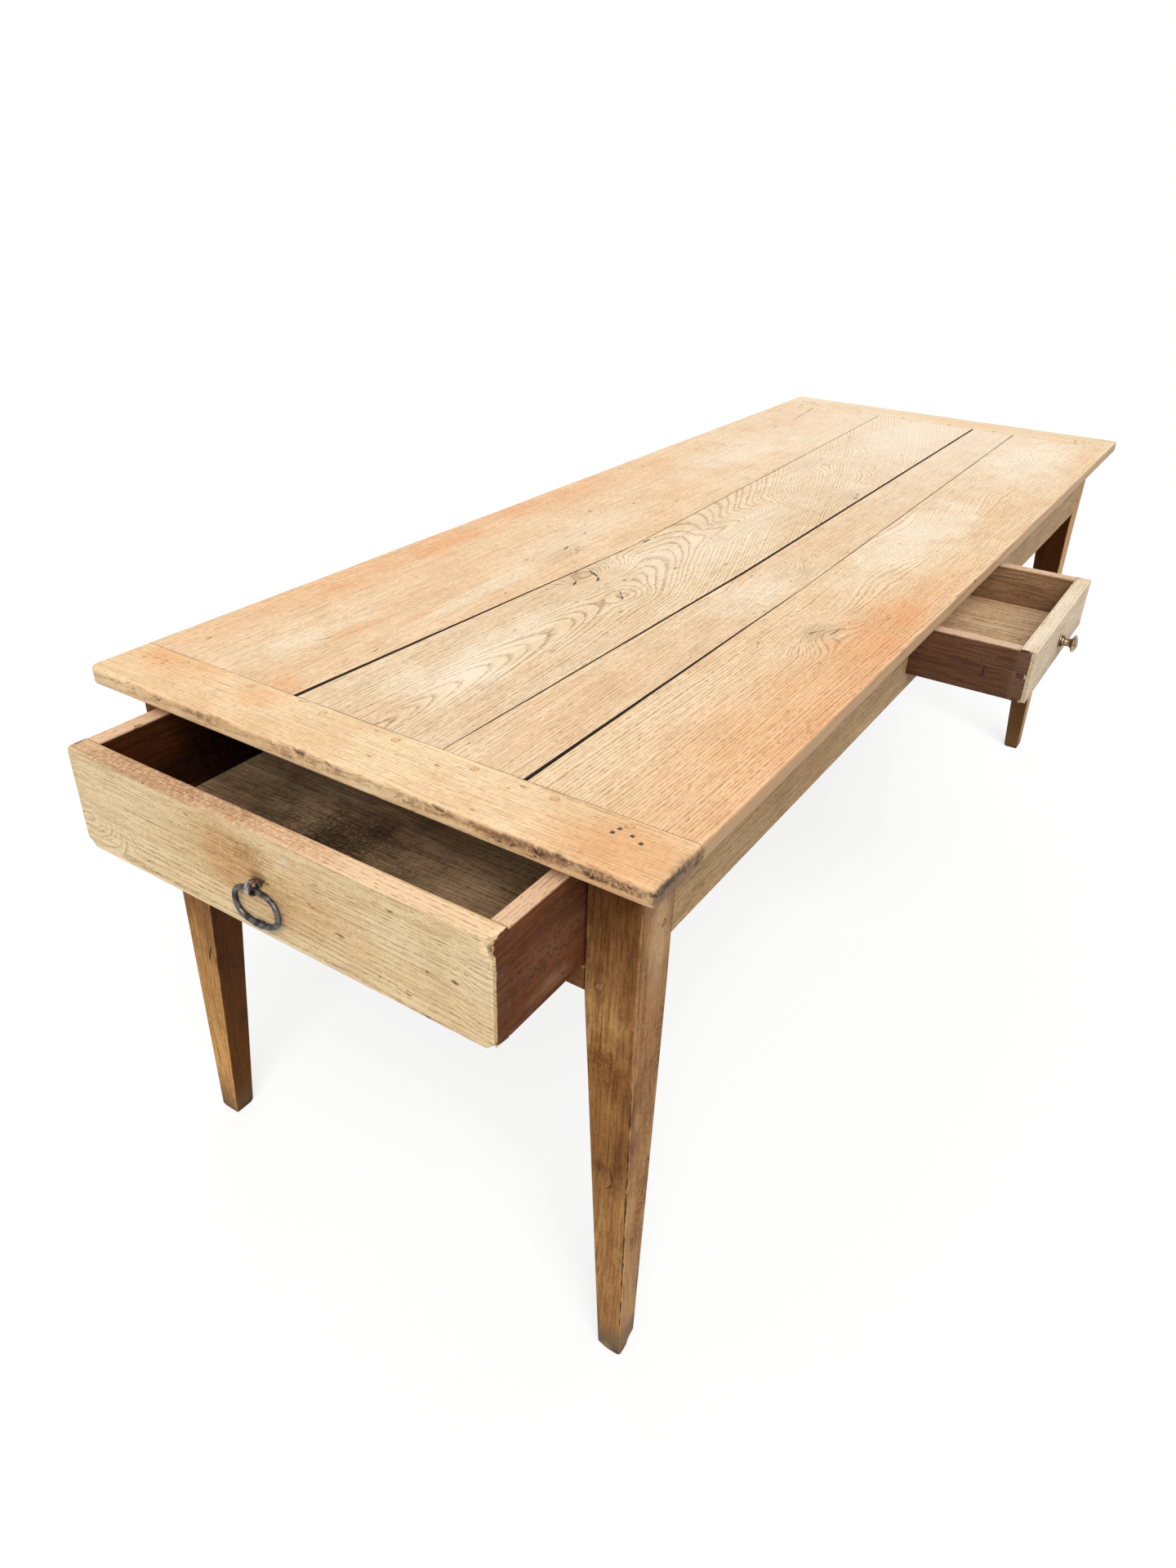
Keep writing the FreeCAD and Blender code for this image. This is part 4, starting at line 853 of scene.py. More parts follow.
# %% Dents and dirt of the near breadboard
deep_dent, shallow_dent, shallow_beyond = 1.3, 0.7, -240
dent_rows = [
    (167, -8, 15), (61, -2, 12), (36, -4, 14), (10, -5, 14), (-1, -8, 10), (-158, -8, 8),
    (-184, -5, 9), (-254, -5, 9), (-279, -3, 8), (-303, -12, 10), (230, -6, 12), (262, -4, 10),
    (305, -6, 16), (95, -8, 10), (-60, -9, 9), (-105, -6, 9), (-215, -8, 8), (-345, -6, 12)]
near_dents = [((-1035, y, z), reach, deep_dent if y > shallow_beyond else shallow_dent)
              for y, z, reach in dent_rows]
edge_grime = [
    (-1036, 300, -9, 12, 90, 8, 0.8), (-1036, 190, -8, 12, 50, 8, 0.8),
    (-1036, 30, -9, 12, 110, 10, 0.7), (-1036, -130, -9, 12, 80, 9, 0.8),
    (-1036, -280, -10, 12, 120, 11, 1.0), (-1008, -385, -10, 45, 7, 14, 1.0),
    (-960, -385, -12, 20, 7, 12, 1.0)]
print("dents", len(near_dents), "zones of dirt", len(edge_grime))

# %% [markdown]
# The grain runs along Y here, so the axes of both oaks start with y.

# %% Breadboards
near_breadboard_oak = oak(
    "near breadboard oak", "yxz", (-990, 0, 0),
    (srgb(250, 222, 180), srgb(245, 212, 168), srgb(206, 160, 112)), 2.6, pith=(160, 100),
    drift=0.03, ring=3.8, wander=14, line_share=0.45, fleck=srgb(184, 128, 84), fleck_share=0.4,
    fleck_spacing=12, pore=top_pore, pore_share=0.4, joint=("x", 960), grime=edge_grime,
    rub=srgb(232, 190, 148), patches=[
        (orange, 0.9, -965, 300, 0, 60, 100, 100, 0.9, 0.9),
        (deep_orange, 0.6, -962, 335, 0, 35, 45, 100, 0.9, 0.9),
        (deep_orange, 0.6, -973, 165, 0, 35, 50, 100, 0.9, 0.9),
        (deep_orange, 0.8, -1000, -330, 0, 80, 110, 100, 0.8, 0.5),
        (grey, 0.7, -1020, -388, 0, 50, 14, 100, 0.8, 0.6),
        (darkening_paint(0.86, 0.76, 0.64), 0.5, -1040, 0, -10, 10, 600, 7, 0.8, 0.7),
        (darkening_paint(0.80, 0.62, 0.46), 0.9, -1040, -240, -10, 12, 160, 12, 0.8, 0.8)], late=[
        (covering_paint(118, 94, 74), 0.8, -1000, -383, -12, 75, 12, 18, 0.7, 0.5),
        (covering_paint(54, 44, 38), 1.0, -1014, -383, -6.5, 46, 12, 8.5, 0.7, 1.1),
        (covering_paint(48, 38, 32), 1.0, -1035.5, -383.5, -11, 4.6, 4.6, 20, 0.4, 0.12),
        (covering_paint(128, 100, 78), 0.8, -1037, -300, -7.5, 6.5, 120, 6.2, 0.5, 0.9),
        (covering_paint(92, 66, 46), 0.8, -1037, -330, -12.5, 6.5, 90, 3, 0.7, 1.0),
        *((covering_paint(60, 44, 34), 0.9, -1037, y, z, 6.5, wide, high, 0.7, 0.9)
          for y, z, wide, high in ((-262, -9, 10, 4), (-318, -12, 7, 4), (-352, -8, 12, 3))),
        (covering_paint(214, 176, 132), 0.7, -1037, -290, -17.5, 6.5, 120, 3.4, 0.6, 0.8),
        # Painted highlight: pale grey lines along the top arris of the end and front faces near the
        # corner.
        (covering_paint(168, 140, 128), 0.8, -1000, -383.5, 0.2, 60, 3.8, 3, 0.6, 0.5),
        (covering_paint(184, 156, 140), 0.7, -1035.5, -300, 0.2, 3.8, 100, 3, 0.6, 0.7),
        (darkening_paint(0.45, 0.35, 0.28), 0.9, -957, -383, -12, 8, 6, 11, 0.7, 0.8),
        # Painted shade: a dark line along the bottom of the end face, as on the right plank.
        (darkening_paint(0.5, 0.38, 0.3), 0.8, -1000, -384, -22.5, 50, 10, 4, 0.6, 0.4)])
far_breadboard_oak = oak(
    "far breadboard oak", "yxz", (990, 0, 0),
    (srgb(248, 229, 198), srgb(243, 215, 178), srgb(206, 170, 130)), 9.3, pith=(-150, 90),
    drift=0.02, ring=5, wander=12, line_share=0.45, pore=top_pore, pore_share=0.35, smudge=0.5,
    joint=("x", 950), patches=[
        (orange, 0.5, 990, -80, 0, 60, 160, 100, 0.9, 0.6),
        (grey, 0.8, 1035, -360, 0, 30, 30, 100, 0.8, 0.7)])
worn("breadboard_near", near_breadboard_oak, edge=0.5, grid=(11, 9, 6), dip=0.7,
     dents=near_dents, fine=[("y", 200, -20, 4), ("x", -1035, -1023, 3)])
worn("breadboard_far", far_breadboard_oak, edge=0.5, grid=(14, 16, 8), dip=0.7)

# %% [markdown]
# ## The near right leg
# The legs never saw the scrubbing brush, so they are browner than the top. The near right leg
# stands closest to the camera and was kicked most. One oak for all legs would be simpler, but
# its splits, scuffs and chipped foot are what the eye finds first, so it gets its own tables.
# The chips are hollows in the mesh, because a foot is seen against the white floor.

# %% The near right leg's marks
right_leg_late = [
    (covering_paint(122, 98, 70), 0.85, -970, -340, -800, 200, 200, 110, 0.4, 0.35),
    (covering_paint(84, 66, 46), 0.9, -970, -340, -758, 200, 200, 22, 0.7, 0.7),
    (covering_paint(170, 142, 108), 0.6, -987, -335, -752, 12, 14, 12, 0.8, 0.9),
    (covering_paint(52, 40, 30), 0.9, -954, -355, -735, 6, 6, 45, 0.7, 0.5),
    (darkening_paint(0.60, 0.45, 0.32), 0.9, -930, -352, -250, 28, 12, 90, 0.9, 1.0),
    (darkening_paint(0.66, 0.52, 0.40), 0.9, -960, -352, -520, 30, 12, 100, 0.9, 1.0),
    (darkening_paint(0.74, 0.62, 0.50), 0.9, -955, -351, -400, 26, 8, 300, 0.6, 0.9),
    (darkening_paint(0.60, 0.46, 0.34), 0.9, -972, -350, -200, 7, 8, 100, 0.6, 0.9),
    (darkening_paint(0.60, 0.46, 0.34), 0.9, -945, -352, -600, 6, 8, 100, 0.6, 0.9),
    (darkening_paint(0.68, 0.50, 0.38), 0.8, -987, -315, -280, 12, 30, 70, 0.9, 1.0),
    (covering_paint(74, 50, 32), 0.8, -927, -351, -310, 12, 10, 60, 0.9, 0.9),
    (covering_paint(96, 68, 44), 0.7, -937, -352, -450, 12, 10, 120, 0.9, 0.9),
    (covering_paint(84, 60, 40), 0.7, -950, -354, -660, 8, 8, 100, 0.9, 0.9)]
right_leg_splits = [
    (-986.8, -346.2, -260, -986.8, -352.2, -730, 1.5),
    (-975, -347.5, -130, -973, -347.8, -165, 1.4),
    (-952, -350, -330, -955, -350.5, -370, 1.6), (-987, -325, -425, -987, -331, -455, 2),
    (-987, -331, -455, -987, -322, -468, 1.6)]
foot_chips = [
    ((-987, -355, -760), 7, 1.2), ((-954, -356, -760), 21, 4.5), ((-954, -324, -760), 12, 4.0),
    ((-987, -324, -760), 9, 2.6), ((-987, -340, -752), 8, 1.2), ((-984, -355, -738), 6, 1.0)]
print("marks on the near right leg", len(right_leg_late), "chips", len(foot_chips))

# %% [markdown]
# ## Legs
# All four legs share their tones and the marks that follow the leg: grey bruised feet, a painted
# shadow of the top down the near faces, a few dark knots. The inner faces are painted dark as
# shade, darker on the far legs, and the outer ones are tinted less, the near face partly as
# painted shade. A tint by the direction of the face does that without unwrapping.

# %% Legs
leg_tones = srgb(236, 195, 140), srgb(200, 154, 102), srgb(118, 70, 38)
leg_pore = (0.05, 0.025, 0.010)
# Painted shade: the inner faces are tinted dark, darker still on the far legs.
near_inner_shade, far_inner_shade = (0.195, 0.108, 0.022), (0.088, 0.042, 0.006)
near_tint, near_right_tint = (0.95, 0.84, 0.62), (0.77, 0.67, 0.51)
right_face_tint = (0.77, 0.70, 0.64)
foot_grey = covering_paint(112, 86, 58)
leg_places = {"leg_near_right": (-955, -315), "leg_near_left": (-955, 330),
              "leg_far_right": (950, -315), "leg_far_left": (950, 330)}
for number, (leg, (x_mid, y_mid)) in enumerate(leg_places.items()):
    near, right_leg = x_mid < 0, leg == "leg_near_right"
    hidden = near_inner_shade if near else far_inner_shade
    inner_faces = [("x", 1 if near else -1, hidden, 1.0),
                   ("y", -1 if y_mid > 0 else 1, hidden, 1.0)]
    # The near face tint is partly painted shade, strongest on the near right leg.
    near_face = [("x", -1, near_right_tint if right_leg else near_tint, 1.0)]
    right_face = [("y", -1, right_face_tint, 1.0)] if right_leg else []
    patches = [
        (foot_grey, 0.75 if near else 0.5, x_mid, y_mid, -790, 200, 200, 100, 0.6, 0.6),
        (darkening_paint(0.55, 0.50, 0.45), 0.9, x_mid, y_mid, -764, 200, 200, 22, 0.7, 0.7),
        # Painted shadow of the top: the next two rows darken the near legs' front faces from the
        # top down.
        (darkening_paint(0.30, 0.21, 0.17), 1.0, -996, y_mid, 0, 20, 200, 360, 0.6, 0.3),
        (darkening_paint(0.58, 0.50, 0.44), 1.0, -992, y_mid, -360, 20, 200, 180, 0.8, 0.8),
        (darkening_paint(0.62, 0.50, 0.40), 0.9, x_mid - 20, y_mid + 12, -200, 30, 10, 160, 0.9, 0.8),
        (darkening_paint(0.62, 0.50, 0.40), 0.9, x_mid - 20, y_mid - 18, -470, 30, 9, 130, 0.9, 0.8),
        (darkening_paint(0.82, 0.78, 0.74), 1.0, -950, -360, -380, 50, 30, 200, 0.8, 0.8),
        (covering_paint(240, 204, 156), 0.5, -950, -352, -130, 35, 12, 130, 0.8, 0.6),
        (darkening_paint(0.78, 0.70, 0.62), 0.8, x_mid, y_mid, -580, 50, 50, 60, 0.9, 1.2),
        (darkening_paint(0.50, 0.37, 0.27), 0.8, x_mid - 28, y_mid + 2, -435, 20, 10, 14, 0.9, 0.9)]
    late = right_leg_late if right_leg else [] if near else [
        (covering_paint(124, 92, 56), 0.6, x_mid, y_mid, -740, 200, 200, 180, 0.8, 0.4)]
    splits = right_leg_splits if right_leg else [
        (x_mid - 32, y_mid - 10, -420, x_mid - 32, y_mid + 4, -460, 2)]
    finish = oak(
        leg.replace("_", " ") + " oak", "zxy", (x_mid, y_mid, -400), leg_tones, 4.3 + 2.9 * number,
        pith=(110, 60), lean=0.015, drift=0.015, ring=3, wander=16, line_share=0.2, pore=leg_pore,
        pore_share=0.45, rub=srgb(210, 168, 120), side_tones=inner_faces + near_face + right_face,
        rough=0.55, fleck_share=0.3, streak_share=0.5, mottle=1.0, cracks=splits, patches=patches,
        late=late, gloss=0.08)
    foot_spans = [("x", -987, -954, 8), ("y", -355, -322, 8)] if right_leg else []
    worn(leg, finish, edge=0.8, grid=(0, 0, 24), dip=0.5,
         dents=foot_chips if right_leg else [], fine=[("z", -760, -730, 4)] + foot_spans)

# %% [markdown]
# ## Rails
# Two long rails and a far end rail carry the top. The bearer and the thin top rail at the
# near end are mostly hidden by the drawer and went darker. One loop makes all five, with a
# new seed and centre for each, because they differ in tone and figure but not in kind. The
# dark stain along the strip under the overhang is painted shade.

# %% Rails
rail_tones = srgb(212, 179, 132), srgb(184, 148, 100), srgb(118, 82, 48)
dark_tones = srgb(134, 92, 50), srgb(110, 72, 38), srgb(68, 40, 18)
# Painted shade: the strip of each rail under the overhang of the top is stained darker.
painted_shade_under_top = (darkening_paint(0.50, 0.38, 0.28), 0.8, 0, -347, -20, 3000, 10, 16, 0.8, 0.5)
for number, (rail, axes, centre, hidden) in enumerate((
        ("long_rail_right", "xzy", (0, -330, -80), False),
        ("long_rail_left", "xzy", (0, 350, -80), False),
        ("end_rail_far", "yzx", (970, 0, -80), False),
        ("drawer_bearer", "yzx", (-960, 0, -180), True),
        ("top_rail_near", "yxz", (-960, 0, -30), True))):
    tones = dark_tones if hidden else rail_tones
    finish = oak(rail.replace("_", " ") + " oak", axes, centre, tones, 1.7 + 3.3 * number,
                 pith=(50, 70), lean=0.01, drift=0.03, ring=3.8, wander=24,
                 pore=leg_pore, rub=srgb(210, 180, 145), rough=0.6, streak_share=0.5, mottle=0.8,
                 late=[painted_shade_under_top], gloss=0.08 if hidden else 0.22)
    step_high = 25 if rail.startswith("long") else 20
    worn(rail, finish, edge=0.9, grid=(30, 30, step_high), dip=0.4)

# %% [markdown]
# ## Hidden timber and pegs
# Runners, guides, stops and blocks were left rough from the saw and have gone brown. They
# could each have an oak of their own, but they are seen in passing only, so they share two
# finishes, one for each direction of the grain. The pegs show end grain only, and they keep
# the shape that the construction model gives them.

# %% Runners, blocks and pegs
for way, axes, seed, grid, names in (
        ("lengthwise", "xyz", 6.6, (30, 0, 0),
         ("end_guide_right", "end_guide_left", "end_runner_right", "end_runner_left",
          "glue_blocks")),
        ("crosswise", "yxz", 7.9, (0, 30, 0),
         ("side_runner_near", "side_runner_far", "side_guide_near", "side_guide_far",
          "drawer_stops"))):
    finish = oak("runner oak " + way, axes, (0, 0, -100), dark_tones, seed, pore=leg_pore,
                 rub=srgb(168, 130, 92), rough=0.7, smudge=0.5)
    for name in names:
        worn(name, finish, edge=0.8, grid=grid, dip=0.3)

for pegs, name, tones in (
        ("breadboard_pegs", "peg oak", (srgb(244, 212, 168), srgb(236, 198, 150), grain_brown)),
        ("frame_pegs", "frame peg oak", (srgb(170, 128, 88), srgb(150, 108, 70), leg_tones[2]))):
    repaint(pegs, oak(name, "zxy", (0, 0, 0), tones, 12.2, ring=2, end_shade=0.94, line_share=0.3,
                      pore_share=0.3, fleck_share=0.1, smudge=0.5))

# %% [markdown]
# ## The end drawer's sides
# The sides are a deep red brown outside and are painted nearly black inside as shade, darkest
# towards the back, while their top edges are rubbed back to pale wood by hands. Each side could
# be written out on its own, but they differ only in which way they look, so both come from one
# loop: inward is the direction from a side to the middle of the drawer, and it turns the tints
# and marks round.

# %% End drawer sides
hand_rubbed = covering_paint(240, 200, 162)
drawer_side = dict(pith=(100, 60), wander=14, pore=(0.02, 0.009, 0.004), end_shade=0.9,
                   streak_share=0.6, mottle=1.0, line_share=0.4)
# Painted shade: the inner faces are tinted dark.
inner_shade_tint = (0.42, 0.34, 0.24)
for side, y_side, inward in (("right", -272, 1), ("left", 286, -1)):
    finish = oak(
        "end drawer %s side oak" % side, "xzy", (-850, y_side, -100),
        (srgb(134, 82, 50), srgb(108, 62, 34), srgb(54, 28, 14)), 5.2 + inward, ring=3.4,
        rub=srgb(196, 146, 104), gloss=0.1, side_tones=[("y", inward, inner_shade_tint, 0.95)], patches=[
            (covering_paint(158, 118, 88), 0.6, -1045, y_side, -146, 45, 30, 18, 0.8, 1.0),
            (hand_rubbed, 0.9, -850, y_side, -38, 1000, 30, 4.2, 0.4, 0.15)], late=[
            # Painted shade: the inner face darkens further towards the back of the drawer.
            (darkening_paint(0.12, 0.08, 0.05), 1.0, -860, y_side + inward * 10, -125, 240, 5, 85, 0.5, 0.3),
            (covering_paint(140, 98, 72), 0.55, -1030, y_side - inward * 10, -100, 100, 6, 50, 0.9, 1.0),
            (covering_paint(60, 34, 22), 0.6, -1000, y_side - inward * 10, -70, 100, 6, 30, 0.9, 1.0)],
        **drawer_side)
    worn("end_drawer_side_" + side, finish, "end_drawer", grid=(30, 0, 20), dip=0.4)

# %% [markdown]
# ## The end drawer's front
# The front is a straight grained board with a nested figure at its left end, bleached on the
# outside, with a dark ragged stain round the eye. It is the part that hands touch, so its
# corners are chipped and its top edge is rubbed. The ends of the drawer's sides show in the
# front's dovetails as brown wood. The dovetails are real joints in the solid, so the finish
# only has to cover a thin zone with the brown of the sides.

# %% End drawer front
side_brown = covering_paint(92, 54, 32)
front_oak = oak(
    "end drawer front oak", "yzx", (-1120, 0, -100),
    (srgb(255, 233, 190), srgb(251, 221, 172), srgb(164, 114, 68)), 3.8, pith=(-70, 90),
    drift=0.010, ring=2.9, wander=12, line_share=0.42, fleck=srgb(120, 84, 54), fleck_share=0.2,
    smudge=0.7, rub=srgb(244, 214, 176), rub_share=0.5, end_shade=0.8, streak_share=0.34,
    swells=[(-1130, 285, -115, 100, 100, 50, -30), (-1130, -275, -110, 100, 50, 50, 10)], patches=[
        (darkening_paint(0.86, 0.74, 0.62), 0.9, -1130, 50, -85, 100, 55, 50, 0.5, 0.4),
        (darkening_paint(0.92, 0.84, 0.74), 0.6, -1130, -30, -100, 100, 120, 80, 0.9, 0.5),
        (covering_paint(240, 228, 212), 0.75, -1130, -32, -58, 100, 8, 9, 0.9, 1.0),
        (darkening_paint(0.40, 0.33, 0.28), 0.8, -1130, 7, -93, 20, 18, 13, 0.8, 0.9),
        (darkening_paint(0.62, 0.50, 0.42), 0.9, -1105, 0, -45, 7, 600, 30, 0.6, 0.3),
        (hand_rubbed, 0.7, -1118, 0, -38, 20, 500, 3, 0.6, 0.3)],
    cracks=[(-1131.5, 150, -99, -1131.5, 128, -99.5, 1)], late=[
        (side_brown, 1.0, -1113.5, -283.5, -100, 12.6, 4, 1000, 0.12, 0.0),
        (side_brown, 1.0, -1113.5, 297.5, -100, 12.6, 4, 1000, 0.12, 0.0),
        (darkening_paint(0.56, 0.44, 0.36), 1.0, -1118, 170, -36.5, 30, 200, 8, 0.6, 0.5),
        (darkening_paint(0.70, 0.58, 0.48), 0.9, -1118, 0, -36.5, 30, 140, 8, 0.7, 0.6),
        (covering_paint(58, 46, 38), 0.95, -1131.5, 4.5, -94.5, 4, 17.5, 3.8, 0.5, 0.6),
        (darkening_paint(0.86, 0.76, 0.64), 0.9, -1132, 20, -100, 6, 220, 50, 0.8, 0.9),
        (covering_paint(120, 76, 48), 0.85, -1129, -283, -50, 14, 8, 10, 0.6, 0.5),
        (darkening_paint(0.80, 0.66, 0.52), 0.9, -1132, 85, -60, 6, 45, 30, 0.9, 0.9),
        (darkening_paint(0.84, 0.72, 0.58), 0.9, -1132, 45, -115, 6, 35, 20, 0.9, 0.9),
        (darkening_paint(0.66, 0.53, 0.40), 1.0, -1132, 12, -62, 6, 45, 24, 0.9, 0.6),
        (covering_paint(250, 222, 180), 0.25, -1132, -272, -100, 6, 10, 55, 0.8, 0.4),
        (covering_paint(96, 58, 34), 0.8, -1131.5, -208, -107, 3, 4.5, 3, 0.5, 0.3),
        (covering_paint(120, 66, 36), 0.9, -1131.5, -240, -103.5, 3, 6.5, 3.2, 0.4, 0.3),
        (covering_paint(66, 46, 30), 0.9, -1131.5, -206, -163, 3, 3, 2.2, 0.4, 0.3)])
worn("end_drawer_front", front_oak, "end_drawer", edge=1.6, grid=(0, 16, 14),
     dip=0.5, dents=[
         ((-1131, -284, -46), 16, 7.0), ((-1131, -284, -38), 12, 5.0),
         ((-1131, 298, -37), 8, 2.0), ((-1131, -284, -166), 12, 4.5),
         ((-1131, 298, -166), 14, 5.0), ((-1106, 298, -166), 12, 4.0)], fine=[
         ("y", -283, -261, 2.5), ("z", -66, -37, 2.5), ("y", 280, 297, 2.5),
         ("z", -165, -148, 2.5)])

# %% [markdown]
# ## The end drawer's bottom and back
# The bottom boards and the back are bare wood, dark towards the corners. They were cut from
# the same stuff, so one oak does for all four, and its dark zones are placed by where dust
# and shade gather in the drawer.

# %% End drawer bottom and back
bottom_oak = oak(
    "end drawer bottom oak", "yxz", (-850, 0, -150),
    (srgb(214, 182, 146), srgb(160, 130, 98), srgb(88, 64, 42)), 7.1, pith=(100, 50), ring=5,
    wander=24, line_share=0.5, pore=(0.06, 0.036, 0.02), rough=0.7, streak_share=0.45, mottle=1.0,
    gloss=0.08, rub=srgb(150, 118, 86), patches=[
        (darkening_paint(0.38, 0.34, 0.30), 0.9, -1030, 190, -150, 160, 240, 100, 0.8, 0.6),
        (darkening_paint(0.62, 0.58, 0.54), 0.7, -950, 20, -150, 70, 100, 100, 0.9, 0.9),
        (darkening_paint(0.60, 0.57, 0.54), 0.8, -1020, 20, -150, 160, 130, 100, 0.8, 0.7)], late=[
        (covering_paint(44, 32, 22), 0.8, -1000, 60, -150, 140, 200, 100, 0.9, 0.9),
        (covering_paint(150, 124, 96), 0.45, -1030, -100, -150, 80, 120, 100, 0.9, 1.0)])
worn("end_drawer_back", bottom_oak, "end_drawer", edge=0.8, grid=(0, 30, 20), dip=0.3)
for place in ("front", "middle", "rear"):
    worn("end_drawer_bottom_" + place, bottom_oak, "end_drawer", edge=0.4,
         grid=(30, 30, 0), dip=0.3)

# %% [markdown]
# ## The side drawer
# It is smaller and greyer. The front is bleached oak with soft edges, the sides are dark
# brown, and the bottom is clean yellow brown wood that was under paper. It is built as the
# end drawer is, from the same functions, with other tones and a wider bevel for the worn
# front.

# %% Side drawer
small_front_oak = oak(
    "side drawer front oak", "xzy", (-50, -500, -70),
    (srgb(244, 228, 202), srgb(228, 208, 178), srgb(166, 138, 106)), 9.9, pith=(100, 70),
    ring=3.6, wander=12, line_share=0.35, rub=srgb(250, 236, 212), rub_share=0.6,
    fleck_share=0.35, fleck_spacing=12, end_shade=0.85, streak_share=0.4, patches=[
        # Painted shade: the front is darker towards its bottom.
        (darkening_paint(0.74, 0.66, 0.56), 0.9, -50, -515, -108, 300, 10, 30, 0.9, 0.5)], late=[
        (covering_paint(84, 54, 42), 1.0, -233.8, -498.5, -70, 3, 9.5, 1000, 0.12, 0.0),
        (covering_paint(84, 54, 42), 1.0, 125.8, -498.5, -70, 3, 9.5, 1000, 0.12, 0.0),
        (covering_paint(240, 222, 196), 0.6, -50, -503, -32.5, 300, 20, 3, 0.6, 0.5)])
paper_edge = covering_paint(222, 188, 156)
for side, x_side, outward in (("near", -224, -1), ("far", 116, 1)):
    finish = oak(
        "side drawer %s side oak" % side, "yzx", (x_side, -300, -70),
        (srgb(166, 132, 98), srgb(134, 102, 72), srgb(80, 54, 36)), 2.2 + outward, ring=3.6,
        rub=srgb(176, 136, 108), rub_share=0.4,
        side_tones=[("x", outward, (0.46, 0.32, 0.28), 0.95)], patches=[
            (paper_edge, 0.9, x_side, -300, -33, 1000, 1000, 3.6, 0.4, 0.12),
            (covering_paint(120, 92, 74), 0.45, x_side, -500, -70, 1000, 14, 100, 0.5, 0.5),
            (covering_paint(40, 24, 16), 0.9, -232, -450, -79, 20, 2.2, 11, 0.5, 0.5)],
        **drawer_side)
    worn("side_drawer_side_" + side, finish, "side_drawer", grid=(0, 25, 18), dip=0.4)
small_bottom_oak = oak(
    "side drawer bottom oak", "yxz", (-50, -300, -100),
    (srgb(230, 200, 164), srgb(206, 170, 130), srgb(128, 92, 60)), 4.4, pith=(40, 50), lean=0.02,
    ring=4.5, wander=24, line_share=0.6, rough=0.65, streak_share=0.5, mottle=0.8)
worn("side_drawer_front", small_front_oak, "side_drawer", edge=2.6,
     grid=(14, 0, 12), dip=0.8)
worn("side_drawer_back", small_bottom_oak, "side_drawer", grid=(25, 0, 18), dip=0.4)
for place in ("far", "near"):
    worn("side_drawer_bottom_" + place, small_bottom_oak, "side_drawer", edge=0.4,
         grid=(30, 30, 0), dip=0.3)

# %% [markdown]
# ## Iron and brass
# The ring was hammered from a bar and has gone black with a satin shine on the high spots.
# The knob is brass, turned and polished by use. Metal colour goes through the Base Color of a
# fully metallic surface. An even metal looks like plastic at this size, so one slow and one
# fine noise change colour, roughness and bump together, as hammer marks and tarnish do.

# %% Metal finishes
def metal(name, bright, dull, rough, hammer_scale, hammer_depth):
    """A bare metal with bright and dull spots; the hammer marks are hammer_depth mm deep."""
    material, m = blank_material(name)
    place = m.node("TexCoord", output="Object")
    hammered = m.cloud(place, scale=hammer_scale, detail=1)
    spots = m.cloud(place, scale=hammer_scale * 5, detail=4, rough=0.7)
    colour = m.mix(m.span(hammered * 0.6 + spots * 0.4, 0.38, 0.6), dull, bright)
    shine = m.span(spots, 0.3, 0.7, rough - 0.08, rough + 0.14)
    height = m.node("Bump", {"Strength": 0.5, "Distance": hammer_depth * MM,
                             "Height": hammered + spots * 0.25})
    surface = m.node("BsdfPrincipled", {"Base Color": colour, "Metallic": 1.0,
                                        "Roughness": shine, "Normal": height})
    m.node("OutputMaterial", {"Surface": surface}, output=None)
    return material


forged_iron = metal("forged iron", (0.16, 0.15, 0.145), (0.05, 0.045, 0.042), 0.36, 160, 0.5)
strap_iron = metal("strap iron", (0.44, 0.42, 0.40), (0.07, 0.06, 0.055), 0.28, 220, 0.2)
nail_look = ((0.15, 0.14, 0.14), (0.05, 0.04, 0.035), 0.5, 400, 0.2)
nail_iron = metal("nail iron", *nail_look)
old_brass = metal("old brass", (0.50, 0.37, 0.24), (0.15, 0.105, 0.06), 0.26, 150, 0.15)
print("metals", [m.name for m in (forged_iron, strap_iron, nail_iron, old_brass)])

# %% [markdown]
# ## Nails
# Four nails hold each corner of the top. At the near left corner none can be seen, because
# their holes are filled with wax and dust. The solids stay, so the same iron takes the colour
# of the wood there and stops being metallic. A patch chooses the corner, because all these
# nails are one piece.

# %% Nails
def filled_nails(name, spot, size, filling):
    """Nail iron, but the heads within a patch are filled over with wax and dust."""
    material = metal(name, *nail_look)
    m = Recipe(material.node_tree)
    surface = next(n for n in material.node_tree.nodes if n.type == "BSDF_PRINCIPLED")
    iron = Signal(m, surface.inputs["Base Color"].links[0].from_socket)
    place = m.node("TexCoord", output="Object")
    mask = m.group(patch_group, Place=place, Centre=in_metres(spot), Size=in_metres(size),
                   Feather=0.2, Ragged=0.0)["Mask"]
    m.put(surface.inputs["Base Color"], m.mix(mask, iron, filling))
    m.put(surface.inputs["Metallic"], 1 - mask)
    return material


repaint("top_nails", filled_nails("top nail iron", (-980, 350, 0), (120,) * 3, srgb(214, 160, 122)))
for nails in ("runner_nails", "end_drawer_nails", "side_drawer_nails"):
    repaint(nails, nail_iron)
print("nail pieces", [name for name in nodes if name.endswith("nails")])

# %% [markdown]
# ## The ring's line
# The ring is a squarish oval of round bar, a little thicker towards the bottom, where two
# ridges close a low bead. A bevelled curve would keep one round section, and a torus one
# round line. Here the line is a superellipse, which a single number makes squarer, and its
# thickness is a formula of the place along it. The ring hangs a little turned in its eye.

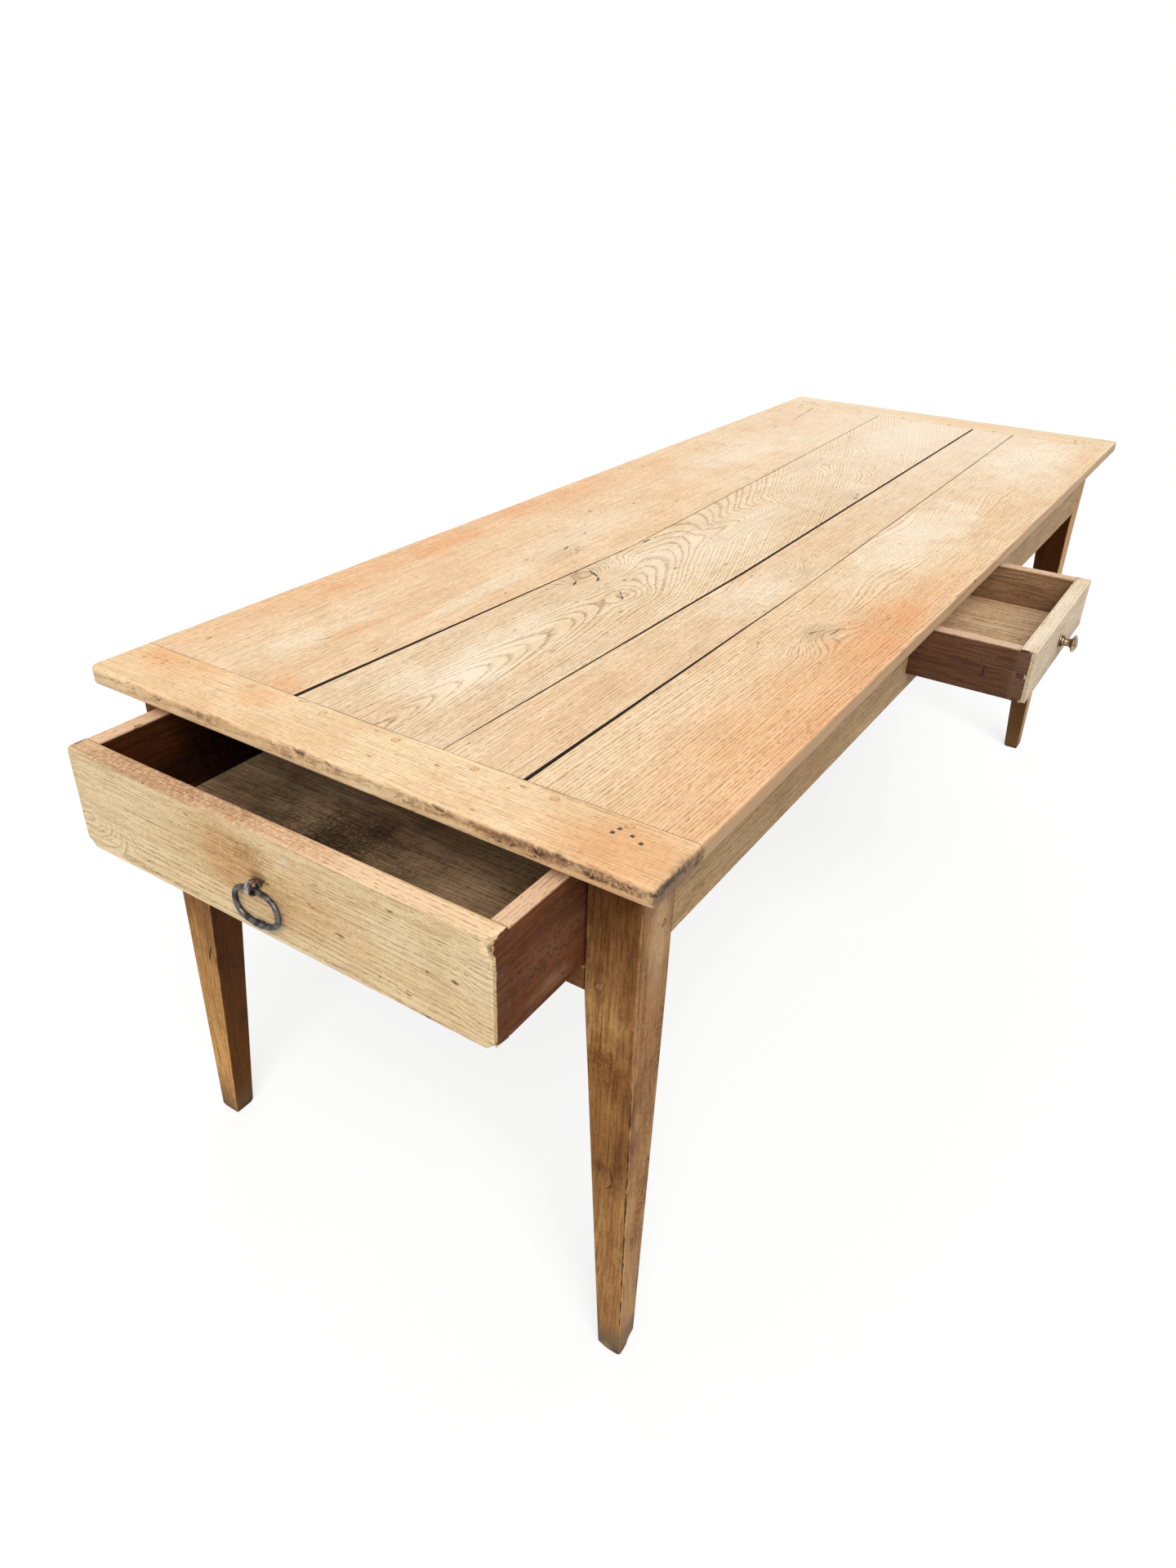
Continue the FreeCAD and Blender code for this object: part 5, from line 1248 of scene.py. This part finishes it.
# %% The ring's line
ring_x, ring_y, ring_z = -1139.2, 7.0, -101.716
oval_half_width, oval_half_height, squareness = 30.5, 20.5, 2.5
ring_roll = math.radians(3.0)
bar_radius, belly_radius = 2.9, 3.7
bead_rise, ridge_rise, ridge_place, ridge_width = 0.5, 0.7, 4.2, 1.5
ring_sides, ring_steps = 20, 120
lump_depth, lump_scale, lump_spread = 0.05, 0.16, 4


def swept(loops, closed=True):
    """A skin over loops of points that all have the same count."""
    bm = bmesh.new()
    rows = [[bm.verts.new(Vector(p) * MM) for p in loop] for loop in loops]
    pairs = list(zip(rows, rows[1:])) + ([(rows[-1], rows[0])] if closed else [])
    for a, b in pairs:
        for i in range(len(a)):
            j = (i + 1) % len(a)
            bm.faces.new((a[i], a[j], b[j], b[i]))
    if not closed:
        bm.faces.new(rows[0])
        bm.faces.new(rows[-1])
    bmesh.ops.recalc_face_normals(bm, faces=bm.faces)
    return bm


def ring_line():
    """The ring's centre line once round: place across and down, direction, radius."""
    places = []
    for k in range(ring_steps):
        a = 2 * math.pi * k / ring_steps
        across, down = (math.copysign(abs(t) ** (2 / squareness), t)
                        for t in (math.sin(a), math.cos(a)))
        places.append(Vector((oval_half_width * across, oval_half_height * (down - 1))))
    line = []
    for k, place in enumerate(places):
        step = (places[(k + 1) % ring_steps] - places[k - 1]).normalized()
        low = -place.y / (2 * oval_half_height)
        from_bead = abs(place.x) if low > 0.5 else oval_half_width
        thick = bar_radius + (belly_radius - bar_radius) * low
        thick += bead_rise * max(0.0, 1 - (from_bead / (ridge_place + ridge_width)) ** 4)
        thick += ridge_rise * math.exp(-((from_bead - ridge_place) / ridge_width) ** 2)
        turn, run = math.sin(ring_roll), math.cos(ring_roll)
        line.append((place.x * run + place.y * turn, place.y * run - place.x * turn,
                     step.x * run + step.y * turn, step.y * run - step.x * turn, thick))
    return line


thickest = max(thick for *_, thick in ring_line())
print("ring thickest at", round(2 * thickest, 2), "mm")

# %% [markdown]
# ## The ring and its eye
# The ring is swept section by section along that line, flat against the drawer front, and it
# hangs by its top from the bar's place in the eye. Each section is lumpy by a slow noise, as
# hammered iron is. The eye keeps the shape of the CAD solid with eased edges, because it was
# bent from flat strap and its form is simple.

# %% Ring and eye
ring_loops = []
for v_at, w_at, along_v, along_w, thick in ring_line():
    loop = []
    for i in range(ring_sides):
        a = 2 * math.pi * i / ring_sides
        lump_at = Vector((v_at, w_at, lump_spread * math.cos(a))) * lump_scale
        lump = 1 - lump_depth * (0.5 + 0.5 * noise.noise(lump_at))
        out = thick * lump * math.sin(a)
        loop.append((ring_x + thick * lump * math.cos(a), ring_y + v_at + out * along_w,
                     ring_z + w_at - out * along_v))
    ring_loops.append(loop)
mesh_piece("ring", swept(ring_loops), forged_iron, "ring", ["ring_pull"])
worn("ring_eye", strap_iron, "end_drawer", edge=0.5, grid=(0, 0, 0), dip=0.02)

# %% [markdown]
# ## The knob
# The knob is a turning: flange, collar, waist, and a domed cap with a fine bead at its rim.
# It could be built from cylinders, but a turner cuts one profile, and spinning that profile
# round its axis gives the soft steps between them. The profile is written as depth from the
# drawer front and radius.

# %% Knob
knob_x, knob_z, knob_front = -54.0, -75.95, -514.0
knob_profile = [
    (-17.5, 0.6), (-17.5, 3.0), (-0.2, 3.0), (-0.2, 10.2), (0.4, 10.5), (2.0, 10.5), (2.5, 10.0),
    (2.6, 8.0), (3.2, 9.0), (4.5, 9.6), (5.8, 9.0), (6.4, 7.8), (6.9, 6.9), (8.5, 6.2),
    (11.0, 5.9), (13.5, 6.1), (15.5, 7.0), (17.0, 8.4), (17.5, 10.2), (18.2, 11.9), (18.9, 12.8),
    (19.8, 13.0), (20.6, 12.8), (21.3, 12.1), (22.3, 11.0), (23.5, 8.8), (24.5, 6.0), (25.2, 3.0),
    (25.4, 0.6)]
knob_sides = 64
knob_angles = [2 * math.pi * i / knob_sides for i in range(knob_sides)]
knob_loops = [[(knob_x + r * math.cos(a), knob_front - d, knob_z + r * math.sin(a))
               for a in knob_angles] for d, r in knob_profile]
print("knob", 2 * max(r for d, r in knob_profile), "mm across")
mesh_piece("turned_knob", swept(knob_loops, closed=False), old_brass, "side_drawer",
           ["knob"])
for name in ("knob_washer", "knob_nut"):
    worn(name, nail_iron, "side_drawer", edge=0.2, grid=(0, 0, 0), dip=0.02)

# %% [markdown]
# ## Size and finish
# The looks must not change the table's size. Wear that only goes inwards keeps to that.
